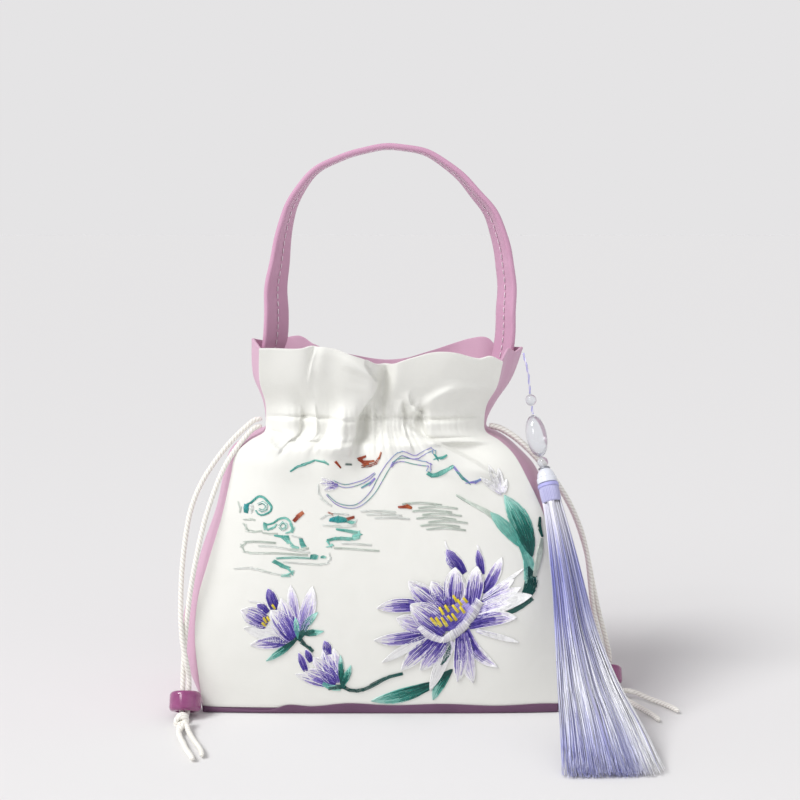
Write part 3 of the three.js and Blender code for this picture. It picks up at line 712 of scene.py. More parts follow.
@dataclass(frozen=True)
class Studio:
    """A pale floor under soft daylight from the upper left, with soft boxes for the glints."""

    lamps: tuple[Lamp, ...] = (
        Lamp("glint", (-0.6, -0.8, 0.7), (0, 0, 0.12), 0.3, 1.6),
        Lamp("fill", (1.3, -1.2, 0.7), (0, 0, 0.12), 1.4, 1.5),
    )
    daylight_from: Place = (-0.56, -0.32, 0.76)
    daylight_strength: float = 2.1
    daylight_spread_deg: float = 24.0
    floor_half: float = 40.0
    board: Moulding = Moulding("matt painted board", "#e0dfdf", 0.95, coat=0.0, shine=0.0)
    horizon_colour: str = "#e5e4e5"
    horizon_top: float = 0.15
    zenith_colour: str = "#a9a9ab"

    def add_light(self, data: bpy.types.Light, place: Place, aim: Place) -> None:
        """Puts a lamp in the scene.

        Args:
            data: The lamp.
            place: Where it stands.
            aim: What it faces.
        """
        light = bpy.data.objects.new(data.name, data)
        light.location = place
        light.rotation_euler = (Vector(aim) - Vector(place)).to_track_quat("-Z", "Y").to_euler()
        bpy.context.scene.collection.objects.link(light)

    def build(self) -> None:
        """Adds the floor, the lamps and the pale surroundings."""
        shell = bmesh.new()
        bmesh.ops.create_grid(shell, x_segments=1, y_segments=1, size=self.floor_half)
        mesh = mesh_of(shell, "floor")
        mesh.materials.append(self.board.material())
        floor = bpy.data.objects.new("floor", mesh)
        bpy.context.scene.collection.objects.link(floor)
        for lamp in self.lamps:
            data = bpy.data.lights.new(lamp.name, "AREA")
            data.size = lamp.side
            data.energy = lamp.watts
            self.add_light(data, lamp.place, lamp.aim)
        daylight = bpy.data.lights.new("daylight", "SUN")
        daylight.energy = self.daylight_strength
        daylight.angle = math.radians(self.daylight_spread_deg)
        self.add_light(daylight, self.daylight_from, (0, 0, 0))
        world = bpy.data.worlds.new("surroundings")
        world.use_nodes = True
        tree = world.node_tree
        parts = add_node(tree, "SeparateXYZ", {0: add_node(tree, "TexCoord").outputs["Generated"]})
        height = add_node(tree, "MapRange", {0: parts.outputs[2], 1: self.horizon_top, 2: 1.0})
        tone = add_node(tree, "Mix", {
            0: height, 6: linear(self.horizon_colour), 7: linear(self.zenith_colour)},
            data_type="RGBA")
        tree.links.new(tone.outputs[2], tree.nodes["Background"].inputs["Color"])
        bpy.context.scene.world = world
        bpy.context.scene.view_settings.view_transform = "Standard"


# Drawstring

LEFT_OUTER = (
    (-67.6, -12, 163.2), (-71.4, -13.5, 162.6), (-76.8, -17, 158.5), (-82.4, -20, 153.3),
    (-88, -23, 147), (-93.6, -26, 139.6), (-98.8, -29, 131.4), (-102.8, -31.5, 123),
    (-105.8, -33.5, 114), (-107.8, -35, 104), (-109.3, -36.6, 93), (-110.4, -38.3, 81),
    (-111, -40, 68), (-111, -41.8, 54), (-109.9, -43.6, 41), (-108.2, -43.8, 31),
    (-107.1, -42, 21), (-107.1, -43.2, 14), (-107.1, -45.6, 7.7), (-107.1, -48, 4.5),
    (-107.3, -51.2, 2.7), (-107.3, -55, 2.4), (-107.2, -58.6, 2.7),
)
LEFT_INNER = (
    (-67.8, -13, 159.2), (-71.5, -15.5, 158.2), (-76.6, -19.5, 153.2), (-81.6, -23.5, 147),
    (-86.3, -27, 139.6), (-90, -30.4, 131.6), (-93.3, -33.6, 122.6), (-96.4, -36.4, 113),
    (-99, -38.4, 103), (-101.3, -40, 92.4), (-103.6, -41, 81), (-105.7, -41, 69),
    (-107.4, -41, 57), (-108.8, -40.6, 45), (-109.9, -40.2, 33), (-110.5, -40.8, 22),
    (-110.5, -43.2, 14), (-110.5, -45.6, 7.7), (-110.5, -48, 4.5), (-110.4, -51.2, 2.7),
    (-110.4, -55, 2.4), (-110.4, -58.6, 2.7),
)
RIGHT_OUTER = (
    (61.7, -12, 159.6), (67.4, -13, 158.4), (75.6, -14.5, 153.8), (84.4, -15.2, 146),
    (92.8, -15, 136.6), (100.6, -14, 126.6), (107.3, -12.4, 116), (112.6, -10.6, 105),
    (116.6, -8.6, 94), (119.4, -6.8, 82.6), (121.2, -5, 70.6), (122.8, -3, 58),
    (125, -1, 45.6), (128, 1, 33), (130.9, 3.6, 22), (131.7, 3.8, 14.4),
    (131.7, 1.4, 7.7), (131.7, -1, 4.5), (131.9, -4.2, 2.7), (132.2, -7.6, 2.4),
    (132.6, -10.6, 2.7),
)
RIGHT_INNER = (
    (61.9, -8, 158.4), (67.6, -8.6, 157), (75.9, -9.6, 152.2), (84.9, -10.4, 144.4),
    (93.5, -10.4, 134.8), (101.3, -9.6, 124.4), (107.9, -8.2, 113.6), (113.1, -6.4, 102.4),
    (117.2, -4.4, 91), (120.5, -2.4, 79.4), (123.2, -0.6, 67.2), (126, 0.8, 54.6),
    (129.2, 2.2, 42), (132.6, 3.6, 30), (134.8, 4.4, 20.6), (135.1, 3.8, 14.4),
    (135.1, 1.4, 7.7), (135.1, -1, 4.5), (135.2, -4.2, 2.7), (135.4, -7.6, 2.4),
    (135.8, -10.6, 2.7),
)
LEFT_TAILS = (
    ((-107.8, -66.2, 4.8), (-108.4, -71, 3.4), (-107.6, -77, 2.3), (-105.4, -85, 2.1),
     (-102.6, -93, 2.1), (-100, -101, 2.1), (-96.6, -109, 2.1), (-94.6, -114.4, 2.1)),
    ((-107.8, -66.2, 4.8), (-104.6, -71, 4.2), (-102.4, -77, 2.9), (-99.6, -84, 2.1),
     (-96.8, -91, 2.1), (-94, -97.6, 2.1), (-91.8, -104, 2.1), (-90.6, -109.4, 2.1)),
)
RIGHT_TAILS = (
    ((134.8, -18.2, 4.8), (137.5, -17, 5), (142, -16.5, 5), (147.5, -19, 4.4), (153.5, -24, 3),
     (159.5, -29, 2.1), (164, -36, 2.1), (167, -43, 2.1)),
    ((134.8, -18.2, 4.8), (138, -21, 3.6), (141.5, -26.5, 2.4), (145.6, -35, 2.1),
     (149.6, -44, 2.1), (152, -51, 2.1), (153.6, -57.4, 2.1)),
)


class Strand(NamedTuple):
    """One strand of the drawstring: its frame node, route in mm and real length in metres."""

    node: str
    route: tuple[Place, ...]
    length: float


class BeadEnd(NamedTuple):
    """A bead on two strands, with the knot and tails in front of it. Places are in mm."""

    side: str
    strands: tuple[Strand, Strand]
    bead: Place
    knot: Place
    tails: tuple[tuple[Place, ...], ...]


@dataclass
class Drawstring:
    """The drawstring's four strands, their beads, and the knots that stop them."""

    ends: tuple[BeadEnd, BeadEnd] = (
        BeadEnd("left", (Strand("left_cord_outer", LEFT_OUTER, 0.191),
                         Strand("left_cord_inner", LEFT_INNER, 0.187)),
                (-108.8, -45.6, 8.4), (-107.8, -66.2, 4.8), LEFT_TAILS),
        BeadEnd("right", (Strand("right_cord_outer", RIGHT_OUTER, 0.193),
                          Strand("right_cord_inner", RIGHT_INNER, 0.193)),
                (133.4, 1.4, 8.4), (134.8, -18.2, 4.8), RIGHT_TAILS),
    )
    diameter: float = 3.0 * MM
    tail_diameter: float = 2.91 * MM
    step: float = 0.8 * MM
    sides: int = 12
    lobe: float = 0.11
    end_pinch: float = 0.35
    bead_down: Place = (0, -0.438, -0.899)
    bead_radius: float = 8.8 * MM
    hole_radius: float = 3.7 * MM
    bead_height: float = 11.0 * MM
    rounding: float = 2.3 * MM
    wrap_radius: float = 2.7 * MM
    wraps: int = 3
    cord_finish: TwistedCord = TwistedCord()
    bead_finish: CastResin = CastResin("plum cast resin", "#7b2961", "#a05387")

    def twisted_tube(self, path: Values, diameter: float) -> Mesh:
        """Makes a cord of three plies laid round each other.

        Args:
            path: Its centre line, in metres.
            diameter: Its diameter over the plies.

        Returns:
            The closed mesh, with its run map.
        """
        rings = max(4, round(run_length(path)[-1] / self.step))
        centres = evenly_spaced(path, rings)
        broad, up = carried_frame(centres, (0, 1, 0.3))
        run = run_length(centres) / MM / self.cord_finish.lay_mm
        share = np.arange(self.sides) / self.sides
        lobes = np.cos(TURN * self.cord_finish.plies * (share[None, :] + run[:, None]))
        near_end = np.exp(-np.arange(rings) / 1.2)
        ends = 1 - self.end_pinch * (near_end + near_end[::-1])
        radius = diameter / 2 * (1 - self.lobe / 2 + self.lobe / 2 * lobes) * ends[:, None]
        return Strands(1, rings, self.sides).laid(centres, broad, up, radius, radius)

    def bead_mesh(self, centre: Values) -> Mesh:
        """Makes a barrel bead with a wide hole.

        Args:
            centre: Its centre.

        Returns:
            The closed mesh.
        """
        rounding, end = self.rounding, self.bead_height / 2 - self.rounding
        outside, inside = self.bead_radius - rounding, self.hole_radius + rounding
        profile = [
            *arc((outside, -end), rounding, rounding, -90, 0, 8),
            *arc((outside, end), rounding, rounding, 0, 90, 8),
            *arc((inside, end), rounding, rounding, 90, 180, 6),
            *arc((inside, -end), rounding, rounding, 180, 270, 6),
        ]
        return turned_mesh([*profile, profile[0]], 48, centre, self.bead_down)

    def knot_path(self, knot: Values, tail: Values) -> Values:
        """The wraps of a knot, ending on their way into a tail.

        Args:
            knot: The knot's centre.
            tail: Points of the tail.

        Returns:
            The path's points.
        """
        angles = np.linspace(0, TURN * self.wraps, 14 * self.wraps)
        lean = np.linspace(0.9, -0.9, len(angles)) * self.diameter
        lowest = self.diameter * 0.6
        wraps = np.column_stack([
            knot[0] + self.wrap_radius * np.cos(angles),
            knot[1] + lean,
            np.maximum(knot[2] + self.wrap_radius * np.sin(angles), lowest),
        ])
        return smooth_path(np.vstack([wraps, tail[2:4]]), 160)

    def build(self) -> None:
        """Builds both ends of the drawstring and its four strands as twisted cords."""
        cord, resin = self.cord_finish.material(), self.bead_finish.material()
        for end in self.ends:
            bead = add_piece(f"{end.side}_resin_bead", self.bead_mesh(np.array(end.bead) * MM),
                             resin, "plum_resin", [f"{end.side}_bead"])
            tails = [np.array(tail) * MM for tail in end.tails]
            wraps = self.knot_path(np.array(end.knot) * MM, tails[0])
            knot = add_piece(f"{end.side}_wrapped_knot", self.twisted_tube(wraps, self.diameter),
                             cord, "ivory_cord", [f"{end.side}_knot"])
            others = [
                add_piece(f"{end.side}_tail_{number}",
                          self.twisted_tube(smooth_path(tail, 120), self.tail_diameter),
                          cord, "ivory_cord")
                for number, tail in enumerate(tails, 1)
            ]
            for number, strand in enumerate(end.strands):
                path = evenly_spaced(smooth_path(np.array(strand.route) * MM, 400), 240)
                piece = add_piece(f"{strand.node}_twisted", self.twisted_tube(path, self.diameter),
                                  cord, "ivory_cord", [strand.node])
                log.info("%s is %.4f m long", piece.name, run_length(path)[-1])


# Cloth of the body

class Section(NamedTuple):
    """Section of the body at a height, in shares of its half width, half depth and bulge."""

    height: float
    left: float
    right: float
    front: float
    front_seam: float
    back: float
    back_seam: float
    left_bulge: float
    right_bulge: float


SECTIONS = table(
    Section,
    (0.0, 1.0, 1.0, 1.02, 0.97, 1.0, 0.96, 0.4, 0.4),
    (0.08, 1.02, 1.01, 1.06, 0.97, 1.05, 0.96, 0.84, 0.6),
    (0.2, 1.04, 1.02, 1.1, 0.95, 1.08, 0.94, 0.88, 0.62),
    (0.31, 1.02, 1.01, 1.1, 0.92, 1.08, 0.91, 0.58, 0.58),
    (0.42, 0.957, 0.96, 1.06, 0.87, 1.05, 0.87, 0.6, 0.5),
    (0.54, 0.885, 0.915, 0.98, 0.8, 0.98, 0.8, 0.5, 0.45),
    (0.65, 0.837, 0.815, 0.9, 0.68, 0.9, 0.68, 0.5, 0.62),
    (0.71, 0.81, 0.745, 0.82, 0.6, 0.8, 0.6, 0.4, 0.35),
    (0.745, 0.735, 0.67, 0.74, 0.52, 0.7, 0.52, 0.25, 0.25),
    (0.765, 0.66, 0.6, 0.6, 0.42, 0.58, 0.42, 0.15, 0.18),
    (0.79, 0.65, 0.587, 0.55, 0.38, 0.54, 0.38, 0.12, 0.2),
    (0.845, 0.648, 0.6, 0.56, 0.42, 0.56, 0.42, 0.25, 0.5),
    (0.91, 0.675, 0.65, 0.68, 0.56, 0.66, 0.56, 0.45, 0.75),
    (1.0, 0.67, 0.68, 0.8, 0.72, 0.76, 0.72, 0.52, 1.0),
)


class Fold(NamedTuple):
    """A soft fold: place and width across, push, height and reach, and lean with height."""

    at: float
    width: float
    push: float
    height: float
    up: float
    down: float
    lean: float = 0.0


FRONT_FOLDS = table(
    Fold,
    (-0.6, 0.22, 0.55, 1.0, 0.1, 0.16),
    (-0.53, 0.05, -0.35, 1.0, 0.1, 0.1, 0.2),
    (-0.26, 0.16, 0.75, 0.98, 0.1, 0.15, -0.1),
    (0.035, 0.06, -0.95, 1.0, 0.1, 0.17),
    (0.55, 0.28, 0.5, 0.97, 0.1, 0.13),
    (0.93, 0.08, 0.4, 1.0, 0.1, 0.1),
    (-0.85, 0.13, 0.3, 0.8, 0.05, 0.04),
    (-0.67, 0.06, -0.5, 0.79, 0.07, 0.04),
    (-0.49, 0.07, 0.35, 0.78, 0.05, 0.06),
    (-0.3, 0.08, 0.85, 0.79, 0.06, 0.05),
    (-0.115, 0.045, -0.5, 0.79, 0.06, 0.06),
    (0.1, 0.08, 0.45, 0.78, 0.05, 0.06),
    (0.25, 0.05, -0.4, 0.79, 0.05, 0.05),
    (0.42, 0.05, -0.6, 0.8, 0.04, 0.04),
    (0.75, 0.2, 0.35, 0.8, 0.04, 0.03),
    (0.36, 0.08, 0.4, 0.73, 0.05, 0.1, -2.2),
    (0.68, 0.22, -1.1, 0.733, 0.012, 0.05, -1),
    (-0.68, 0.22, 0.45, 0.72, 0.035, 0.08),
    (-0.3, 0.1, 0.35, 0.73, 0.04, 0.09, 0.4),
    (-0.08, 0.12, -0.3, 0.72, 0.05, 0.08),
)
BACK_FOLDS = table(
    Fold,
    (0.62, 0.25, 0.6, 1.0, 0.1, 0.16),
    (0.2, 0.12, -0.7, 1.0, 0.1, 0.17),
    (-0.15, 0.2, 0.6, 1.0, 0.1, 0.16),
    (-0.5, 0.1, -0.6, 1.0, 0.1, 0.16),
    (-0.8, 0.18, 0.4, 1.0, 0.1, 0.15),
    (0.7, 0.09, -0.55, 0.79, 0.06, 0.06),
    (0.45, 0.1, 0.6, 0.78, 0.06, 0.07),
    (0.2, 0.08, -0.5, 0.79, 0.05, 0.06),
    (-0.05, 0.1, 0.7, 0.78, 0.06, 0.08, 0.3),
    (-0.3, 0.08, -0.6, 0.79, 0.06, 0.06),
    (-0.55, 0.1, 0.55, 0.78, 0.06, 0.07),
    (-0.8, 0.08, -0.4, 0.79, 0.05, 0.05),
    (0.3, 0.16, 0.4, 0.7, 0.06, 0.1, -0.8),
    (-0.35, 0.16, 0.4, 0.7, 0.06, 0.1, 0.8),
)


class RimPoint(NamedTuple):
    """Rise of the ruffle's edge at a place across, as a share of its wave."""

    at: float
    rise: float


FRONT_RIM = table(
    RimPoint,
    (-1.0, 0.15), (-0.9, 0.18), (-0.67, 0.2), (-0.54, 0.4), (-0.38, 0.25), (-0.27, -0.06),
    (-0.14, -0.45), (0.0, -0.95), (0.13, -0.78), (0.25, -0.45), (0.4, -0.08), (0.5, 0.0),
    (0.62, -0.1), (0.8, -0.5), (0.9, -0.35), (1.0, -0.75),
)
BACK_RIM = table(
    RimPoint,
    (-1.0, 0.1), (-0.85, 0.35), (-0.72, 0.45), (-0.6, -0.1), (-0.3, -0.9), (0.05, -1.3),
    (0.4, -0.7), (0.62, -0.15), (0.8, 0.3), (0.92, 0.35), (1.0, -0.3),
)


class Pleat(NamedTuple):
    """A sharp fold: its edge as heights and places across, and the side that stands proud."""

    edge: tuple[Pixel, ...]
    raised: int
    push_mm: float
    soft: float
    sharp: float = 0.014


FRONT_PLEATS = table(
    Pleat,
    (((0.722, -0.18), (0.777, -0.168), (0.817, -0.15), (0.853, -0.087), (0.89, -0.027),
           (0.923, -0.01), (0.946, -0.02), (0.985, -0.129)), -1, 6.2, 0.17, 0.009),
    (((0.74, -0.11), (0.79, -0.1), (0.83, -0.07)), 1, -1.9, 0.05, 0.035),
    (((0.86, 0.035), (0.93, 0.035), (0.99, 0.02)), 1, -2.2, 0.06, 0.05),
    (((0.915, -0.57), (0.96, -0.55), (1.0, -0.52)), 1, 2.4, 0.12),
    (((0.742, -0.7), (0.774, -0.69), (0.83, -0.68)), -1, 3.4, 0.16, 0.012),
    (((0.735, -0.42), (0.77, -0.4), (0.8, -0.39)), 1, 3.2, 0.09, 0.018),
    (((0.76, -0.53), (0.79, -0.52), (0.84, -0.55)), -1, 2.4, 0.05),
    (((0.73, 0.28), (0.775, 0.27), (0.85, 0.22)), -1, 4.4, 0.09, 0.012),
    (((0.65, 0.8), (0.69, 0.7), (0.742, 0.5), (0.794, 0.27)), -1, 4.2, 0.13, 0.014),
    (((0.79, 0.47), (0.82, 0.42), (0.853, 0.3), (0.88, 0.27)), -1, 2.8, 0.07),
    (((0.825, 0.36), (0.865, 0.5), (0.905, 0.66)), 1, 3.2, 0.26, 0.085),
    (((0.76, 0.47), (0.79, 0.45), (0.815, 0.44)), 1, 3.0, 0.12, 0.012),
    (((0.795, 0.38), (0.82, 0.4), (0.845, 0.4)), 1, -3.2, 0.035, 0.03),
    (((0.785, 0.0), (0.81, -0.01), (0.84, -0.03)), -1, 2.8, 0.05),
    (((0.729, -0.70), (0.745, -0.82), (0.771, -0.95)), -1, 3.4, 0.2, 0.012),
    (((0.733, -0.24), (0.77, -0.3), (0.8, -0.33)), 1, 2.2, 0.09, 0.014),
)


class FootPoint(NamedTuple):
    """Height in mm of the base's turned-up edge at a place across the front."""

    at: float
    height_mm: float


FOOT_EDGE = table(
    FootPoint,
    (-1.0, 4.0), (-0.9, 3.1), (-0.62, 2.2), (-0.52, 5.0), (-0.38, 4.2), (-0.18, 6.0), (0.06, 4.8),
    (0.35, 5.6), (0.65, 4.4), (0.9, 5.4), (1.0, 5.2),
)


class SeamPoint(NamedTuple):
    """A point of a stitched line: place across and height."""

    at: float
    height: float


FRONT_CHANNEL = (
    table(SeamPoint, (-1.0, 0.772), (-0.86, 0.768), (-0.72, 0.752), (-0.4, 0.75), (0, 0.752),
          (0.4, 0.756), (1.0, 0.757)),
    table(SeamPoint, (-1.0, 0.81), (-0.6, 0.812), (-0.3, 0.806), (0.1, 0.812), (0.5, 0.806),
          (1.0, 0.811)),
)
BACK_CHANNEL = (
    table(SeamPoint, (-1.0, 0.762), (-0.3, 0.754), (0.4, 0.757), (1.0, 0.764)),
    table(SeamPoint, (-1.0, 0.81), (0.0, 0.808), (1.0, 0.811)),
)


@dataclass(frozen=True)
class BodyShape:
    """The walls' shape: the frame's own sizes and tables, with finer folds on top."""

    half_width: float = 100 * MM
    half_depth: float = 40 * MM
    mouth: float = 203 * MM
    foot: float = 3.3 * MM
    wall: float = 1.8 * MM
    seam_gap: float = 0.3 * MM
    seam_tuck: float = 0.95 * MM
    bulge: float = 14 * MM
    fold_depth: float = 7 * MM
    rim_wave: float = 8 * MM
    rim_softness: float = 0.18
    gusset_peak: float = 4 * MM
    corner_peak: float = 5 * MM
    corner_at: float = 0.67
    corner_spread: float = 0.34
    groove_depth: float = 1.5 * MM
    groove_spread: float = 0.006
    gather_depth: float = 1.0 * MM
    gather_spread: float = 0.042
    shelf_depth: float = 1.2 * MM
    casing_stand: float = 1.7 * MM
    pleat_fade: float = 0.025

    def wall_height(self, height: Values, rise: Values) -> Values:
        """Heights of points of a wall under a waved rim.

        Args:
            height: Shares of the wall's height.
            rise: Rise of the rim above each.

        Returns:
            The heights in metres.
        """
        near_rim = smoothstep(height, 1 - self.rim_softness, 1)
        return self.foot + height * (self.mouth - self.foot) + rise * near_rim

    def soft_folds(self, folds: Sequence[Fold], across: Values, height: Values) -> Values:
        """Adds up the soft folds of a panel.

        Args:
            folds: The folds.
            across: Places across, from -1 to 1.
            height: Shares of the wall's height.

        Returns:
            How far each place is pushed out.
        """
        push = np.zeros_like(across)
        for fold in folds:
            rise = height - fold.height
            reach = np.where(rise > 0, fold.up, fold.down)
            aside = (across - fold.at - fold.lean * rise) / fold.width
            push += fold.push * np.exp(-aside**2 - (rise / reach) ** 2)
        return push * self.fold_depth

    def sharp_folds(self, pleats: Sequence[Pleat], across: Values, height: Values) -> Values:
        """Adds up the sharp pleats of a panel.

        Args:
            pleats: The pleats.
            across: Places across, from -1 to 1.
            height: Shares of the wall's height.

        Returns:
            How far each place is pushed out.
        """
        push = np.zeros_like(across)
        for pleat in pleats:
            heights, places = np.array(pleat.edge).T
            aside = (across - np.interp(height, heights, places)) * pleat.raised
            spread = np.where(aside > 0, pleat.soft, pleat.sharp)
            begun, ended = (
                smoothstep(height, end - self.pleat_fade, end + self.pleat_fade)
                for end in (heights[0], heights[-1])
            )
            along = begun * (1 - ended)
            push += pleat.push_mm * MM * along * np.exp(-((aside / spread) ** 2))
        return push

    def channel(self, seams: Sequence[Sequence[SeamPoint]], across: Values,
                height: Values) -> Values:
        """Shapes the channel's stitched grooves and the small gathers that they draw up.

        Args:
            seams: The lower and the upper line of stitches.
            across: Places across, from -1 to 1.
            height: Shares of the wall's height.

        Returns:
            How far each place is pushed out.
        """
        push = np.zeros_like(across)
        drift = across + 0.25 * (height - 0.79)
        ripple = (np.abs(np.sin(drift * 31 + 2.2 * np.sin(drift * 5))) ** 0.7
                  + 0.7 * np.abs(np.sin(drift * 53 + 1.3 + 1.5 * np.sin(drift * 7 + 1))) ** 0.7 - 1.1)
        strength = 0.65 + 0.35 * np.sin(across * 8 + 0.6)
        if seams is FRONT_CHANNEL:
            strength *= 1 - 0.65 * smoothstep(np.abs(across), 0.42, 0.6)
        for seam in seams:
            rise = height - read_table(seam, "height", across)
            push -= self.groove_depth * np.exp(-((rise / self.groove_spread) ** 2))
            gathers = np.exp(-((rise / self.gather_spread) ** 2))
            push += self.gather_depth * ripple * strength * gathers
        below = read_table(seams[0], "height", across) - height
        above = height - read_table(seams[1], "height", across)
        casing = smoothstep(-below, -0.002, 0.004) * (1 - smoothstep(above, -0.006, 0.0))
        if seams is FRONT_CHANNEL:
            push += self.casing_stand * casing * smoothstep(np.abs(across), 0.3, 0.5)
        shelf = smoothstep(below, 0.002, 0.016) * (1 - smoothstep(below, 0.03, 0.12))
        return push + self.shelf_depth * shelf

    def panel(self, across: Values, height: Values, is_front: bool,
              is_fine: bool = True) -> Values:
        """Points of the outer side of the front or back panel.

        Args:
            across: Places from -1 at the left seam to 1 at the right one.
            height: Shares of the wall's height.
            is_front: Whether the panel is the front.
            is_fine: Whether the sharp pleats and the channel's stitching are wanted.

        Returns:
            One row for each place.
        """
        middle = read_table(SECTIONS, "front" if is_front else "back", height)
        seam = read_table(SECTIONS, "front_seam" if is_front else "back_seam", height)
        left = read_table(SECTIONS, "left", height) * self.half_width
        right = read_table(SECTIONS, "right", height) * self.half_width
        push = self.soft_folds(FRONT_FOLDS if is_front else BACK_FOLDS, across, height)
        if is_fine:
            push += self.channel(FRONT_CHANNEL if is_front else BACK_CHANNEL, across, height)
            if is_front:
                push += self.sharp_folds(FRONT_PLEATS, across, height)
        depth = (seam + (middle - seam) * (1 - across**4)) * self.half_depth + push * (1 - across**6)
        rise = read_table(FRONT_RIM if is_front else BACK_RIM, "rise", across) * self.rim_wave
        return np.column_stack([
            (left + right) * (across + 1) / 2 - left,
            -depth if is_front else depth,
            self.wall_height(height, rise),
        ])

    def seam_corner(self, height: Values, side: int, is_front: bool) -> Values:
        """Finds where a gusset meets the inner side of a panel at its seam.

        Args:
            height: Shares of the wall's height.
            side: 1 for the right gusset and -1 for the left.
            is_front: Whether the panel is the front.

        Returns:
            One row for each height.
        """
        edge = self.panel(np.full_like(height, side), height, is_front, False)
        inner = self.panel(np.full_like(height, side * 0.94), height, is_front, False)
        along = unit((inner - edge) * (1, 1, 0))
        turn = 1 if (side > 0) == is_front else -1
        inwards = np.column_stack([along[:, 1], -along[:, 0], np.zeros(len(along))]) * turn
        return edge + inwards * (self.wall + self.seam_gap - self.seam_tuck)

    def gusset(self, forward: Values, height: Values, side: int) -> Values:
        """Points of the outer side of a gusset.

        Args:
            forward: Places from -1 at the back seam to 1 at the front one.
            height: Shares of the wall's height.
            side: 1 for the right gusset and -1 for the left.

        Returns:
            One row for each place.
        """
        front = self.seam_corner(height, side, True)
        back = self.seam_corner(height, side, False)
        bulge = read_table(SECTIONS, "right_bulge" if side > 0 else "left_bulge", height)
        flat = smoothstep(height, 0.75, 0.95)
        near_rim = smoothstep(height, 1 - self.rim_softness, 1)
        round_shape, folded = 1 - forward**2, 1 - np.abs(forward)
        out = bulge * self.bulge * (round_shape + (folded - round_shape) * flat)
        corner = np.maximum(0, 1 - np.abs(forward - self.corner_at) / self.corner_spread) * (side > 0)
        points = back + (front - back) * ((forward + 1) / 2)[:, None]
        points[:, 0] += side * out
        points[:, 2] += (self.gusset_peak * folded + self.corner_peak * corner) * near_rim
        return points


class Density(NamedTuple):
    """Where a grid's rows go: a share of the rows, and the height that they reach."""

    rows: float
    height: float


